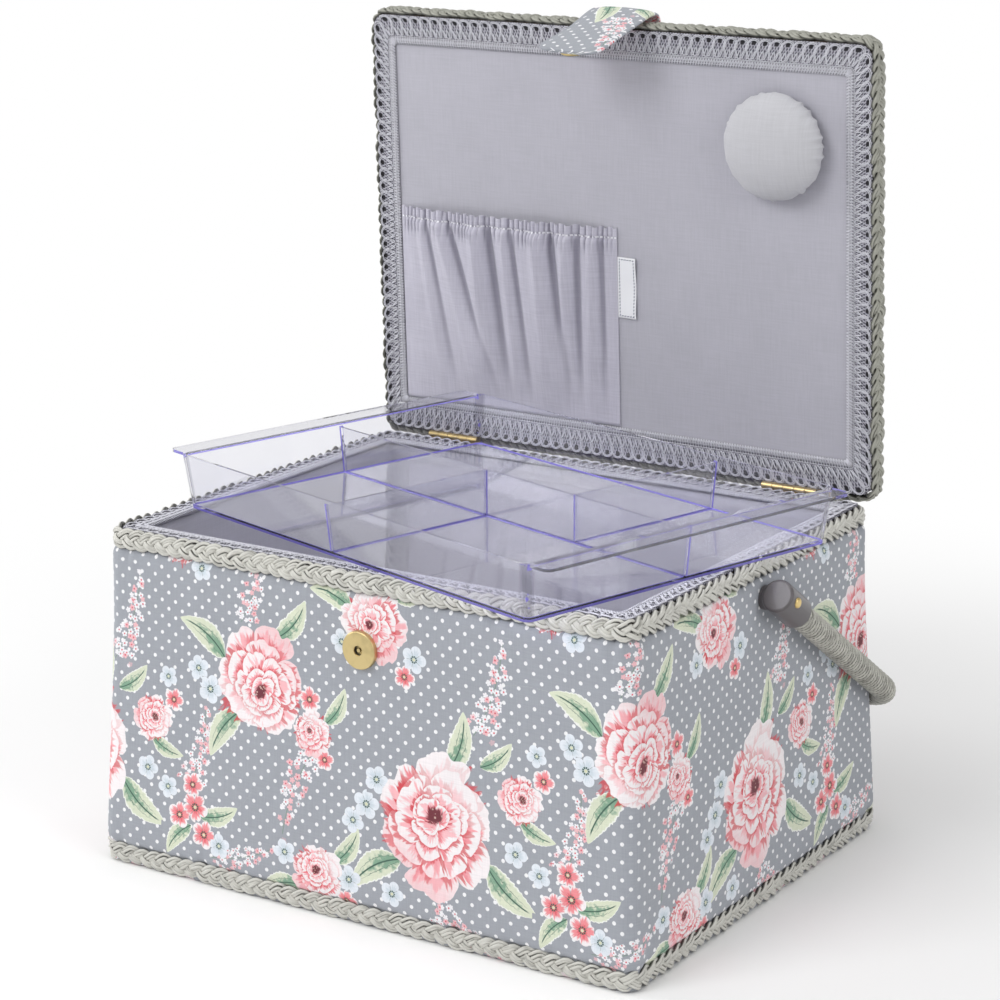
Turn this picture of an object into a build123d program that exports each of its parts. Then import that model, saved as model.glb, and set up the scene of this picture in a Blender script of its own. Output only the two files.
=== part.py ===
"""Fabric covered sewing box with its lid standing open, a clear tray on the rim and a swing handle.

Millimetres. The origin is the middle of the underside, +X is to the right along the front,
+Y is to the back and +Z is up. Lid parts are drawn for the shut lid and then turned open.
"""

from build123d import *
import math
import os

os.makedirs("parts", exist_ok=True)

# Box body
BOX_WIDTH = 325.0
BOX_DEPTH = 252.0
BOX_HEIGHT = 185.0
CORNER_RADIUS = 9.0
COVER_THICKNESS = 0.8
PADDING_THICKNESS = 5.2
BOARD_THICKNESS = 8.0
LINING_THICKNESS = 1.5
BASE_CLOTH_THICKNESS = 1.0
BASE_BOARD_THICKNESS = 5.0
DRAW_IN = 4.6
TOP_BRAID_HEIGHT = 9.5
BRAID_STANDS_PROUD = 3.0
BOTTOM_BRAID_HEIGHT = 11.0
BOTTOM_BRAID_INSET = 0.2
BASE_FLARE_X = 5.2
BASE_FLARE_Y = 6.6
FLARE_START_X = 157.0
FLARE_START_Y = 134.0
FLOOR_CLEARANCE = 0.3
RIM_GIMP_THICKNESS = 3.5
RIM_GIMP_OVERHANG = 1.8

# Lid
LID_FRONT_SETBACK = 1.5
LID_SIDE_OVERHANG = 0.7
LID_REAR_OVERHANG = 1.0
LID_GAP = 2.0
LID_OPEN_ANGLE = 88.0
LID_CORNER_RADIUS = 10.0
LID_GIMP_THICKNESS = 1.5
LID_GIMP_WIDTH = 16.0
LID_GIMP_SIDE_INSET = 1.7
LID_GIMP_HINGE_INSET = 4.5
LID_GIMP_FRONT_INSET = 5.0
LID_LINING_THICKNESS = 1.0
LID_BOARD_THICKNESS = 5.0
LID_EDGE_PADDING = 2.0
LID_CROWN = 7.8
ROPE_WIDTH = 4.0
ROPE_HEIGHT = 11.5

# Butt hinges
HINGE_SPACING = 224.0
HINGE_LENGTH = 34.0
HINGE_LEAF_WIDTH = 16.0
HINGE_LEAF_THICKNESS = 1.0
HINGE_BARREL_RADIUS = 2.2
HINGE_WEB_THICKNESS = 3.0
HINGE_PIN_RADIUS = 1.1
HINGE_PIN_CLEARANCE = 0.05
HINGE_AXIS_BEHIND_WALL = 1.5
HINGE_AXIS_OVER_RIM = 1.0
HINGE_KNUCKLES = 5
KNUCKLE_GAP = 0.3
HINGE_POCKET_CLEARANCE = 0.4
HINGE_SCREW_RADIUS = 1.1
HINGE_SCREW_HEAD_RADIUS = 1.9
HINGE_SCREW_HEAD_HEIGHT = 0.7
HINGE_SCREW_PITCH = 11.0
WALL_SCREW_DEPTH = 8.0
LID_SCREW_DEPTH = 4.0
LID_SCREW_FROM_AXIS = 11.2
SCREW_CLEARANCE = 0.05
HOLE_END_CLEARANCE = 0.3

# Magnetic snap
SNAP_X = 4.0
SNAP_BELOW_TOP = 39.0
SNAP_RADIUS = 10.0
SNAP_THICKNESS = 2.8
SNAP_EDGE_ROUNDING = 0.9
SNAP_HOLE_RADIUS = 2.6
SNAP_PIN_RADIUS = 1.0
SNAP_STEM_RADIUS = 1.6
SNAP_WASHER_RADIUS = 8.0
SNAP_WASHER_THICKNESS = 0.8
SNAP_MAGNET_RADIUS = 7.5
SNAP_SHELL = 0.6
SNAP_GAP = 0.3
SNAP_CLEARANCE = 0.05
STEM_HOLE_CLEARANCE = 0.3
STRAP_SNAP_RADIUS = 9.0
STRAP_SNAP_THICKNESS = 2.0
STRAP_WASHER_RADIUS = 7.0

# Fastening strap
STRAP_WIDTH = 40.0
STRAP_THICKNESS = 2.6
STRAP_TIP_BELOW_SNAP = 11.0
STRAP_TIP_ROUNDING = 7.0
STRAP_REST_FOLD = 14.0
STRAP_ROOT_START = 34.5
STRAP_DIP_START = 18.5
STRAP_RISE_START = 7.5
STRAP_DIP_OVER_LID = 0.5
STRAP_RISE_OVER_LID = 2.8
STRAP_FOLD_OVER_LID = 3.0
STRAP_SHOULDER_DROP = 2.6
STRAP_FOLD_GAP = 0.6
STRAP_ROOT_BEND = 12.0
STRAP_SHOULDER_BEND = 8.0

# Handle
HANDLE_PIVOT_Y = 5.0
HANDLE_PIVOT_BELOW_TOP = 20.45
CAP_SIDE_GAP = 1.2
GRIP_BEHIND_BACK = 4.28
HANDLE_REST_ANGLE = 34.4
HANDLE_WRAP_RADIUS = 6.9
HANDLE_CORE_RADIUS = 5.0
WINDING_CLEARANCE = 0.05
HANDLE_BEND_RADIUS = 20.0
CAP_RADIUS = 8.8
CAP_BOSS_RADIUS = 6.5
CAP_BOSS_PROUD = 0.4
CAP_BEHIND_PIVOT = 7.5
CAP_LENGTH = 17.5
CAP_SOCKET_START = 4.5
CAP_END_ROUNDING = 1.5
HANDLE_SCREW_RADIUS = 2.5
HANDLE_SCREW_HEAD_RADIUS = 5.0
HANDLE_SCREW_HEAD_HEIGHT = 2.3
HANDLE_SCREW_REACH = 10.4
HANDLE_HOLE_CLEARANCE = 0.5
SPACER_RADIUS = 6.5
SPACER_CLEARANCE = 0.15
RIVET_HEAD_RADIUS = 2.8
RIVET_HEAD_HEIGHT = 1.8
RIVET_HEAD_ROUNDING = 1.2
RIVET_SEAT = 0.8
RIVET_SHANK_RADIUS = 1.2
RIVET_SHANK_LENGTH = 4.7

# Tray
TRAY_SIDE_CLEARANCE = 4.0
TRAY_END_CLEARANCE = 5.0
TRAY_HEIGHT = 30.0
TRAY_DRAFT = 3.8
TRAY_WALL = 1.6
TRAY_CORNER_RADIUS = 5.0
TRAY_FOOT_RADIUS = 4.0
TRAY_FLANGE = 12.5
TRAY_FLANGE_END_INSET = 2.5
TRAY_DIVIDER_HEIGHT = 27.0
TRAY_LONG_DIVIDER_Y = 2.5
TRAY_FRONT_DIVIDER_X = -14.0
TRAY_BACK_DIVIDER_X = 56.0
TRAY_CENTRE_X = 15.0
TRAY_LID_CLEARANCE = 0.95
TRAY_YAW = -16.3
REST_CLEARANCE = 0.3

# Pocket, label and pincushion on the lid's lining, placed by their distance along the lid from the hinge
POCKET_EDGE_GAP = 0.3
POCKET_WIDTH = 147.2
POCKET_HEIGHT = 116.2
POCKET_HEADER = 6.7
POCKET_BILLOW = 7.2
POCKET_FOLD = 2.4
POCKET_CLOTH = 0.8
POCKET_ACROSS = 32
POCKET_FOLDS = (0.10, 0.27, 0.45, 0.60, 0.74, 0.90)
POCKET_LEVELS = (0.0, 0.12, 0.32, 0.58, 0.80, 0.92, 1.0)
ELASTIC_WIDTH = 5.0
ELASTIC_THICKNESS = 0.8
ELASTIC_CLEARANCE = 0.06
LABEL_WIDTH = 12.0
LABEL_LENGTH = 35.0
LABEL_THICKNESS = 0.6
LABEL_BELOW_TOP = 17.5
PINCUSHION_FROM_SIDE = 58.4
PINCUSHION_FROM_FRONT = 61.0
PINCUSHION_RADIUS = 30.0
PINCUSHION_FOOT_RADIUS = 26.0
PINCUSHION_HEIGHT = 20.0
PINCUSHION_BELLY = 9.0
PINCUSHION_SHOULDER_RADIUS = 20.4
PINCUSHION_SHOULDER_HEIGHT = 17.4
PINCUSHION_CARD_RADIUS = 24.0
PINCUSHION_CARD_THICKNESS = 1.5

# Places worked out from the sizes above
half_x = BOX_WIDTH / 2
half_y = BOX_DEPTH / 2
board_x = half_x - COVER_THICKNESS - PADDING_THICKNESS
board_y = half_y - COVER_THICKNESS - PADDING_THICKNESS
board_corner = CORNER_RADIUS - COVER_THICKNESS - PADDING_THICKNESS
inner_x = board_x - BOARD_THICKNESS
inner_y = board_y - BOARD_THICKNESS
cavity_x = inner_x - LINING_THICKNESS
cavity_y = inner_y - LINING_THICKNESS
wall_bottom = BASE_CLOTH_THICKNESS + BASE_BOARD_THICKNESS
wall_top = BOX_HEIGHT - BRAID_STANDS_PROUD
top_braid_bottom = BOX_HEIGHT - TOP_BRAID_HEIGHT
rim_top = wall_top + RIM_GIMP_THICKNESS
hinge_y = half_y + HINGE_AXIS_BEHIND_WALL
hinge_z = rim_top + HINGE_AXIS_OVER_RIM
lid_face = rim_top + LID_GAP
lining_face = lid_face + LID_GIMP_THICKNESS
lid_board_face = lining_face + LID_LINING_THICKNESS
lid_board_back = lid_board_face + LID_BOARD_THICKNESS
lid_top = lid_board_back + LID_CROWN + COVER_THICKNESS
lid_x = half_x + LID_SIDE_OVERHANG
lid_front = -half_y + LID_FRONT_SETBACK
lid_rear = hinge_y + LID_REAR_OVERHANG
lid_middle = (lid_front + lid_rear) / 2
lid_half_y = (lid_rear - lid_front) / 2
panel_x = lid_x - ROPE_WIDTH
panel_half_y = lid_half_y - ROPE_WIDTH
panel_corner = LID_CORNER_RADIUS - ROPE_WIDTH
hinge_centres = [-HINGE_SPACING / 2, HINGE_SPACING / 2]
gimp_x = lid_x - LID_GIMP_SIDE_INSET
gimp_front = lid_front + LID_GIMP_FRONT_INSET
gimp_rear = hinge_y - LID_GIMP_HINGE_INSET
pocket_left = -gimp_x + LID_GIMP_WIDTH + POCKET_EDGE_GAP
pocket_right = pocket_left + POCKET_WIDTH
pocket_bottom = LID_GIMP_HINGE_INSET + LID_GIMP_WIDTH + POCKET_EDGE_GAP
pocket_top = pocket_bottom + POCKET_HEIGHT
pocket_stitch = pocket_top - POCKET_HEADER
pincushion_x = lid_x - PINCUSHION_FROM_SIDE
snap_z = BOX_HEIGHT - SNAP_BELOW_TOP
pivot_z = BOX_HEIGHT - HANDLE_PIVOT_BELOW_TOP
arm_length = (half_y + GRIP_BEHIND_BACK + HANDLE_WRAP_RADIUS - HANDLE_PIVOT_Y) / math.cos(
    math.radians(HANDLE_REST_ANGLE)
)
cap_inner_x = half_x + CAP_SIDE_GAP
handle_x = cap_inner_x + CAP_BOSS_PROUD + CAP_RADIUS
cap_outer_x = handle_x + CAP_RADIUS

# The tray goes loosely into the cavity; askew on the rim, its back corner comes close to the lid
tray_length = 2 * (cavity_x - TRAY_SIDE_CLEARANCE)
tray_depth = 2 * (cavity_y - TRAY_END_CLEARANCE)
flange_reach = tray_length / 2 + TRAY_FLANGE - TRAY_FOOT_RADIUS
flange_side = tray_depth / 2 - TRAY_FLANGE_END_INSET - TRAY_FOOT_RADIUS
yaw = math.radians(abs(TRAY_YAW))
tray_back_reach = flange_reach * math.sin(yaw) + flange_side * math.cos(yaw) + TRAY_FOOT_RADIUS
tray_centre_y = hinge_y - TRAY_LID_CLEARANCE - tray_back_reach

# Height and inset of the wall cover's outer face, from the bottom to the rim; the foot also spreads
wall_levels = [
    (BASE_CLOTH_THICKNESS, DRAW_IN),
    (BOTTOM_BRAID_HEIGHT, DRAW_IN),
    (BOTTOM_BRAID_HEIGHT + 3, 1.2),
    (BOTTOM_BRAID_HEIGHT + 14, 0.2),
    (BOX_HEIGHT / 2, 0.0),
    (FLARE_START_Y, 0.1),
    (FLARE_START_X, 0.18),
    (top_braid_bottom - 14, 0.2),
    (top_braid_bottom - 3, 1.2),
    (top_braid_bottom, DRAW_IN),
    (wall_top, DRAW_IN),
]

# Inset from the rope, height over the board and corner radius of the lid's padding
crown_levels = [
    (0.0, 0.0, panel_corner),
    (0.0, LID_EDGE_PADDING, panel_corner),
    (3.0, LID_CROWN * 0.58, panel_corner + 1),
    (12.0, LID_CROWN * 0.83, panel_corner + 6),
    (36.0, LID_CROWN, panel_corner + 16),
]


def save(node, solid):
    """Writes one node."""
    export_step(solid, f"parts/{node}.step")


def rounded_plate(size_x, size_y, radius, bottom, top, middle_y=0.0):
    """A plate with rounded corners, centred on x = 0."""
    outline = Plane.XY.offset(bottom) * Pos(0, middle_y) * RectangleRounded(size_x, size_y, radius)
    return extrude(outline, top - bottom)


def stack(size_x, size_y, levels, middle_y=0.0):
    """A solid lofted through rounded rectangles, one for each (height, inset, radius)."""
    outlines = []
    for height, inset, radius in levels:
        outline = RectangleRounded(size_x - 2 * inset, size_y - 2 * inset, radius)
        outlines.append(Plane.XY.offset(height) * Pos(0, middle_y) * outline)
    return loft(outlines, ruled=True)


def flare(height, start, amount):
    """How far the foot spreads at a height: the full amount down at the braid, nothing above the start."""
    share = (start - height) / (start - BOTTOM_BRAID_HEIGHT)
    return amount * min(max(share, 0.0), 1.0)


def wall_stack(skin):
    """The solid inside the wall cover's outer face less a skin, from the bottom to the rim."""
    outlines = []
    for height, inset in wall_levels:
        reach_x = flare(height, FLARE_START_X, BASE_FLARE_X) - inset - skin
        reach_y = flare(height, FLARE_START_Y, BASE_FLARE_Y) - inset - skin
        outline = RectangleRounded(
            BOX_WIDTH + 2 * reach_x, BOX_DEPTH + 2 * reach_y, CORNER_RADIUS - inset - skin,
        )
        outlines.append(Plane.XY.offset(height) * outline)
    return loft(outlines, ruled=True)


def block(x0, x1, y0, y1, z0, z1):
    """A plain block between two corners."""
    return Pos((x0 + x1) / 2, (y0 + y1) / 2, (z0 + z1) / 2) * Box(x1 - x0, y1 - y0, z1 - z0)


def rod_x(x0, x1, y, z, radius):
    """A round rod along X."""
    return Pos((x0 + x1) / 2, y, z) * Rot(0, 90, 0) * Cylinder(radius, x1 - x0)


def rod_y(y0, y1, x, z, radius):
    """A round rod along Y."""
    return Pos(x, (y0 + y1) / 2, z) * Rot(90, 0, 0) * Cylinder(radius, y1 - y0)


def rod_z(z0, z1, x, y, radius):
    """A round rod along Z."""
    return Pos(x, y, (z0 + z1) / 2) * Cylinder(radius, z1 - z0)


def cut_all(shape, tools):
    """The shape less each tool in turn."""
    for tool in tools:
        shape = shape - tool
    return shape


def open_lid(shape):
    """Turns a shape drawn for the shut lid to the open rest position."""
    return shape.rotate(Axis((0, hinge_y, hinge_z), (1, 0, 0)), -LID_OPEN_ANGLE)


def both_sides(shape):
    """A right hand shape with its mirror image on the left."""
    return [shape, mirror(shape, Plane.YZ)]


# Base and wall boards
base_board = rounded_plate(
    2 * (board_x + BASE_FLARE_X), 2 * (board_y + BASE_FLARE_Y), board_corner, BASE_CLOTH_THICKNESS, wall_bottom,
)
wall_block = rounded_plate(2 * board_x, 2 * board_y, board_corner, wall_bottom, wall_top)
front_board = wall_block & block(-board_x, board_x, -board_y, -inner_y, wall_bottom, wall_top)
back_board = wall_block & block(-board_x, board_x, inner_y, board_y, wall_bottom, wall_top)
right_board = block(inner_x, board_x, -inner_y, inner_y, wall_bottom, wall_top)
right_board = cut_all(right_board, [
    rod_x(
        inner_x, inner_x + HANDLE_SCREW_HEAD_HEIGHT + SCREW_CLEARANCE, HANDLE_PIVOT_Y, pivot_z,
        HANDLE_SCREW_HEAD_RADIUS + SCREW_CLEARANCE,
    ),
    rod_x(inner_x, board_x, HANDLE_PIVOT_Y, pivot_z, HANDLE_SCREW_RADIUS + SCREW_CLEARANCE),
])
left_board = mirror(right_board, Plane.YZ)
screw_xs = [x + k * HINGE_SCREW_PITCH for x in hinge_centres for k in (-1, 0, 1)]
wall_screw_y = board_y - BOARD_THICKNESS / 2
for x in screw_xs:
    back_board = back_board - rod_z(
        wall_top - WALL_SCREW_DEPTH - HOLE_END_CLEARANCE, wall_top, x, wall_screw_y,
        HINGE_SCREW_RADIUS + SCREW_CLEARANCE,
    )
save("base_cloth", rounded_plate(
    2 * (half_x - DRAW_IN + BASE_FLARE_X), 2 * (half_y - DRAW_IN + BASE_FLARE_Y), CORNER_RADIUS - DRAW_IN,
    0, BASE_CLOTH_THICKNESS,
))
save("base_board", base_board)
save("front_board", front_board)
save("back_board", back_board)
save("left_board", left_board)
save("right_board", right_board)

# Padding and printed cover, drawn in under the braids, with holes for the snap and the handle screws
handle_holes = both_sides(rod_x(
    board_x, half_x, HANDLE_PIVOT_Y, pivot_z, HANDLE_SCREW_RADIUS + HANDLE_HOLE_CLEARANCE,
))
stem_hole = rod_y(-half_y, -board_y, SNAP_X, snap_z, SNAP_STEM_RADIUS + STEM_HOLE_CLEARANCE)
washer_room = rod_y(
    -board_y - SNAP_WASHER_THICKNESS - STEM_HOLE_CLEARANCE, -board_y, SNAP_X, snap_z,
    SNAP_WASHER_RADIUS + STEM_HOLE_CLEARANCE,
)
padding_outer = wall_stack(COVER_THICKNESS)
cover_outer = wall_stack(0.0)
board_space = base_board + rounded_plate(2 * board_x, 2 * board_y, board_corner, wall_bottom, wall_top)
save("wall_padding", cut_all(padding_outer - board_space, handle_holes + [stem_hole, washer_room]))
save("printed_cover", cut_all(cover_outer - padding_outer, handle_holes + [stem_hole]))

# Lining of the walls and the bottom
wall_lining = block(-inner_x, inner_x, -inner_y, inner_y, wall_bottom, wall_top)
wall_lining = wall_lining - block(-cavity_x, cavity_x, -cavity_y, cavity_y, wall_bottom, wall_top)
save("wall_lining", wall_lining)
save("base_lining", block(
    -cavity_x, cavity_x, -cavity_y, cavity_y, wall_bottom, wall_bottom + LINING_THICKNESS,
))


def leaf_room(bottom, top):
    """The room that the leaves of both hinges take between two heights."""
    reach = HINGE_LENGTH / 2 + HINGE_POCKET_CLEARANCE
    return [
        block(
            x - reach, x + reach, leaf_inner_y - HINGE_POCKET_CLEARANCE, leaf_outer_y + HINGE_POCKET_CLEARANCE,
            bottom, top,
        )
        for x in hinge_centres
    ]


# Rim gimp and the two braids
leaf_inner_y = hinge_y - HINGE_LEAF_WIDTH
leaf_outer_y = hinge_y + HINGE_WEB_THICKNESS / 2
wall_leaf_top = wall_top + HINGE_LEAF_THICKNESS
braid_inner_x = half_x - DRAW_IN
braid_inner_y = half_y - DRAW_IN
braid_inner_corner = CORNER_RADIUS - DRAW_IN
rim_opening_x = cavity_x - RIM_GIMP_OVERHANG
rim_opening_y = cavity_y - RIM_GIMP_OVERHANG
rim_gimp = rounded_plate(2 * braid_inner_x, 2 * braid_inner_y, braid_inner_corner, wall_top, rim_top)
rim_gimp = rim_gimp - block(-rim_opening_x, rim_opening_x, -rim_opening_y, rim_opening_y, wall_top, rim_top)
save("rim_gimp", cut_all(rim_gimp, leaf_room(wall_top, wall_leaf_top + SCREW_CLEARANCE)))
top_braid = rounded_plate(BOX_WIDTH, BOX_DEPTH, CORNER_RADIUS, top_braid_bottom, BOX_HEIGHT)
top_braid = top_braid - rounded_plate(
    2 * braid_inner_x, 2 * braid_inner_y, braid_inner_corner, top_braid_bottom, BOX_HEIGHT,
)
save("top_braid", cut_all(top_braid, leaf_room(wall_top, BOX_HEIGHT)))
bottom_braid = rounded_plate(
    BOX_WIDTH + 2 * (BASE_FLARE_X - BOTTOM_BRAID_INSET), BOX_DEPTH + 2 * (BASE_FLARE_Y - BOTTOM_BRAID_INSET),
    CORNER_RADIUS - BOTTOM_BRAID_INSET,
    FLOOR_CLEARANCE, BOTTOM_BRAID_HEIGHT,
)
bottom_braid = bottom_braid - rounded_plate(
    2 * (braid_inner_x + BASE_FLARE_X), 2 * (braid_inner_y + BASE_FLARE_Y), braid_inner_corner,
    FLOOR_CLEARANCE, BOTTOM_BRAID_HEIGHT,
)
save("bottom_braid", bottom_braid)

# Snap half on the front wall: a brass cup with a centre hole and pin, its ring magnet and its back washer
snap_back = -half_y - SNAP_CLEARANCE
snap_front = snap_back - SNAP_THICKNESS
magnet_front = snap_front + SNAP_SHELL
magnet_back = snap_back - SNAP_SHELL
washer_front = -board_y - SNAP_WASHER_THICKNESS - SNAP_CLEARANCE
washer_back = -board_y - SNAP_CLEARANCE
snap_socket = rod_y(snap_front, snap_back, SNAP_X, snap_z, SNAP_RADIUS)
snap_socket = fillet(snap_socket.edges().group_by(Axis.Y)[0], SNAP_EDGE_ROUNDING)
snap_socket = snap_socket - rod_y(magnet_front, magnet_back, SNAP_X, snap_z, SNAP_MAGNET_RADIUS)
snap_socket = snap_socket - rod_y(snap_front, magnet_front, SNAP_X, snap_z, SNAP_HOLE_RADIUS)
snap_socket = snap_socket + rod_y(magnet_front, snap_back, SNAP_X, snap_z, SNAP_PIN_RADIUS)
snap_socket = snap_socket + rod_y(snap_back, washer_back, SNAP_X, snap_z, SNAP_STEM_RADIUS)
snap_magnet = rod_y(
    magnet_front + SNAP_CLEARANCE, magnet_back - SNAP_CLEARANCE, SNAP_X, snap_z,
    SNAP_MAGNET_RADIUS - SNAP_CLEARANCE,
)
snap_magnet = snap_magnet - rod_y(magnet_front, magnet_back, SNAP_X, snap_z, SNAP_HOLE_RADIUS)
snap_washer = rod_y(washer_front, washer_back, SNAP_X, snap_z, SNAP_WASHER_RADIUS)
snap_washer = snap_washer - rod_y(
    washer_front, washer_back, SNAP_X, snap_z, SNAP_STEM_RADIUS + SCREW_CLEARANCE,
)
save("snap_socket", snap_socket)
save("snap_magnet", snap_magnet)
save("snap_washer", snap_washer)

# Butt hinges: the first, third and fifth knuckles are on the wall's leaf, the others on the lid's
lid_leaf_bottom = lid_board_face - HINGE_LEAF_THICKNESS
lid_screw_y = hinge_y - LID_SCREW_FROM_AXIS
knuckle_pitch = HINGE_LENGTH / HINGE_KNUCKLES


def leaf(centre, bottom, top, which, web_end, screw_y, head_bottom):
    """One leaf with its knuckles, pin bore and countersunk screw holes."""
    shape = block(
        centre - HINGE_LENGTH / 2, centre + HINGE_LENGTH / 2, leaf_inner_y, leaf_outer_y, bottom, top,
    )
    for k in which:
        x0 = centre - HINGE_LENGTH / 2 + k * knuckle_pitch + KNUCKLE_GAP / 2
        x1 = x0 + knuckle_pitch - KNUCKLE_GAP
        low = min(hinge_z, web_end)
        high = max(hinge_z, web_end)
        shape = shape + rod_x(x0, x1, hinge_y, hinge_z, HINGE_BARREL_RADIUS)
        shape = shape + block(x0, x1, leaf_outer_y - HINGE_WEB_THICKNESS, leaf_outer_y, low, high)
    shape = shape - rod_x(
        centre - HINGE_LENGTH, centre + HINGE_LENGTH, hinge_y, hinge_z, HINGE_PIN_RADIUS + HINGE_PIN_CLEARANCE,
    )
    for k in (-1, 0, 1):
        x = centre + k * HINGE_SCREW_PITCH
        shape = shape - rod_z(bottom, top, x, screw_y, HINGE_SCREW_RADIUS + SCREW_CLEARANCE)
        shape = shape - rod_z(
            head_bottom, head_bottom + HINGE_SCREW_HEAD_HEIGHT, x, screw_y,
            HINGE_SCREW_HEAD_RADIUS + SCREW_CLEARANCE,
        )
    return shape


wall_head_bottom = wall_leaf_top - HINGE_SCREW_HEAD_HEIGHT
lid_head_top = lid_leaf_bottom + HINGE_SCREW_HEAD_HEIGHT
wall_leaves = [
    leaf(x, wall_top, wall_leaf_top, (0, 2, 4), wall_top, wall_screw_y, wall_head_bottom)
    for x in hinge_centres
]
lid_leaves = [
    leaf(x, lid_leaf_bottom, lid_board_face, (1, 3), lid_board_face, lid_screw_y, lid_leaf_bottom)
    for x in hinge_centres
]
pins = [
    rod_x(x - HINGE_LENGTH / 2, x + HINGE_LENGTH / 2, hinge_y, hinge_z, HINGE_PIN_RADIUS)
    for x in hinge_centres
]
wall_screws = [
    rod_z(wall_top - WALL_SCREW_DEPTH, wall_head_bottom, x, wall_screw_y, HINGE_SCREW_RADIUS)
    + rod_z(wall_head_bottom, wall_leaf_top, x, wall_screw_y, HINGE_SCREW_HEAD_RADIUS)
    for x in screw_xs
]
lid_screws = [
    rod_z(lid_head_top, lid_board_face + LID_SCREW_DEPTH, x, lid_screw_y, HINGE_SCREW_RADIUS)
    + rod_z(lid_leaf_bottom, lid_head_top, x, lid_screw_y, HINGE_SCREW_HEAD_RADIUS)
    for x in screw_xs
]
save("hinge_box_leaves", Compound(children=wall_leaves))
save("hinge_lid_leaves", open_lid(Compound(children=lid_leaves)))
save("hinge_pins", Compound(children=pins))
save("hinge_box_screws", Compound(children=wall_screws))
save("hinge_lid_screws", open_lid(Compound(children=lid_screws)))

# Lid board, crowned padding and its printed cover
lid_board = rounded_plate(
    2 * panel_x, 2 * panel_half_y, panel_corner, lid_board_face, lid_board_back, lid_middle,
)
lid_board = cut_all(lid_board, [
    rod_z(
        lid_board_face, lid_board_face + LID_SCREW_DEPTH + HOLE_END_CLEARANCE, x, lid_screw_y,
        HINGE_SCREW_RADIUS + SCREW_CLEARANCE,
    )
    for x in screw_xs
])
lid_padding = stack(
    2 * panel_x, 2 * panel_half_y,
    [(lid_board_back + height, inset, radius) for inset, height, radius in crown_levels], lid_middle,
)
lid_cover = stack(
    2 * panel_x, 2 * panel_half_y,
    [(lid_board_back + LID_EDGE_PADDING, 0.0, panel_corner)]
    + [
        (lid_board_back + COVER_THICKNESS + height, inset, radius)
        for inset, height, radius in crown_levels[1:]
    ],
    lid_middle,
)
lid_cover = lid_cover - lid_padding
save("lid_board", open_lid(lid_board))
save("lid_padding", open_lid(lid_padding))
save("lid_cover", open_lid(lid_cover))

# Lid lining, gimp and rope edge
lid_lining = rounded_plate(
    2 * panel_x, 2 * panel_half_y, panel_corner, lining_face, lid_board_face, lid_middle,
)
lid_leaf_room = leaf_room(lid_leaf_bottom, lid_board_face)
save("lid_lining", open_lid(cut_all(lid_lining, lid_leaf_room)))
lid_gimp = block(-gimp_x, gimp_x, gimp_front, gimp_rear, lid_face, lining_face)
lid_gimp = lid_gimp - block(
    -gimp_x + LID_GIMP_WIDTH, gimp_x - LID_GIMP_WIDTH, gimp_front + LID_GIMP_WIDTH, gimp_rear - LID_GIMP_WIDTH,
    lid_face, lining_face,
)
save("lid_gimp", open_lid(lid_gimp))
rope_top = lining_face + ROPE_HEIGHT
lid_rope = rounded_plate(2 * lid_x, 2 * lid_half_y, LID_CORNER_RADIUS, lining_face, rope_top, lid_middle)
lid_rope = lid_rope - rounded_plate(
    2 * panel_x, 2 * panel_half_y, panel_corner, lining_face, rope_top, lid_middle,
)
barrel_reach = HINGE_LENGTH / 2 + HINGE_POCKET_CLEARANCE
barrel_room = [
    rod_x(x - barrel_reach, x + barrel_reach, hinge_y, hinge_z, HINGE_BARREL_RADIUS + HINGE_POCKET_CLEARANCE)
    for x in hinge_centres
]
save("lid_rope", open_lid(cut_all(lid_rope, lid_leaf_room + barrel_room)))


# Elasticated pocket: the cloth stands off the lining most at its mouth and hangs in soft folds
def pocket_standoff(across, level):
    """Gap from the lining to the back of the cloth at a place across and up the pocket."""
    fullness = (1 - abs(2 * across - 1) ** 3) * level ** 0.8
    fold = 0.0
    for place in POCKET_FOLDS:
        distance = abs(across - place) / 0.055
        if distance < 1:
            fold += (1 - distance * distance) ** 2
    return POCKET_BILLOW * fullness + POCKET_FOLD * fold * level ** 1.5


def pocket_section(level, start, thickness, along):
    """A closed outline across the pocket, from a standoff to that standoff plus a thickness."""
    back = []
    face = []
    for i in range(POCKET_ACROSS + 1):
        across = i / POCKET_ACROSS
        x = pocket_left + (pocket_right - pocket_left) * across
        standoff = max(pocket_standoff(across, level) + start, 0.0)
        back.append((x, hinge_y - along, lining_face - standoff))
        face.append((x, hinge_y - along, lining_face - standoff - thickness))
    return make_face(Polyline(*back, *reversed(face), close=True))


def pocket_height(level):
    """Distance along the lid for a level of the pocket."""
    return pocket_bottom + (pocket_top - pocket_bottom) * level


pocket = loft(
    [pocket_section(level, 0.0, POCKET_CLOTH, pocket_height(level)) for level in POCKET_LEVELS], ruled=True,
)
save("pocket", open_lid(pocket))


def elastic_section(along):
    """The elastic's outline behind the cloth at one distance along the lid, inside the side seams."""
    lower_at = (along - pocket_bottom) / (pocket_top - pocket_bottom)
    level_low = max(level for level in POCKET_LEVELS if level <= lower_at)
    level_high = min(level for level in POCKET_LEVELS if level >= lower_at)
    part = (lower_at - level_low) / (level_high - level_low)
    back = []
    face = []
    for i in range(2, POCKET_ACROSS - 1):
        across = i / POCKET_ACROSS
        x = pocket_left + (pocket_right - pocket_left) * across
        low = pocket_standoff(across, level_low)
        cloth_back = low + (pocket_standoff(across, level_high) - low) * part - ELASTIC_CLEARANCE
        face.append((x, hinge_y - along, lining_face - cloth_back))
        back.append((x, hinge_y - along, lining_face - cloth_back + ELASTIC_THICKNESS))
    return make_face(Polyline(*back, *reversed(face), close=True))


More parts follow.
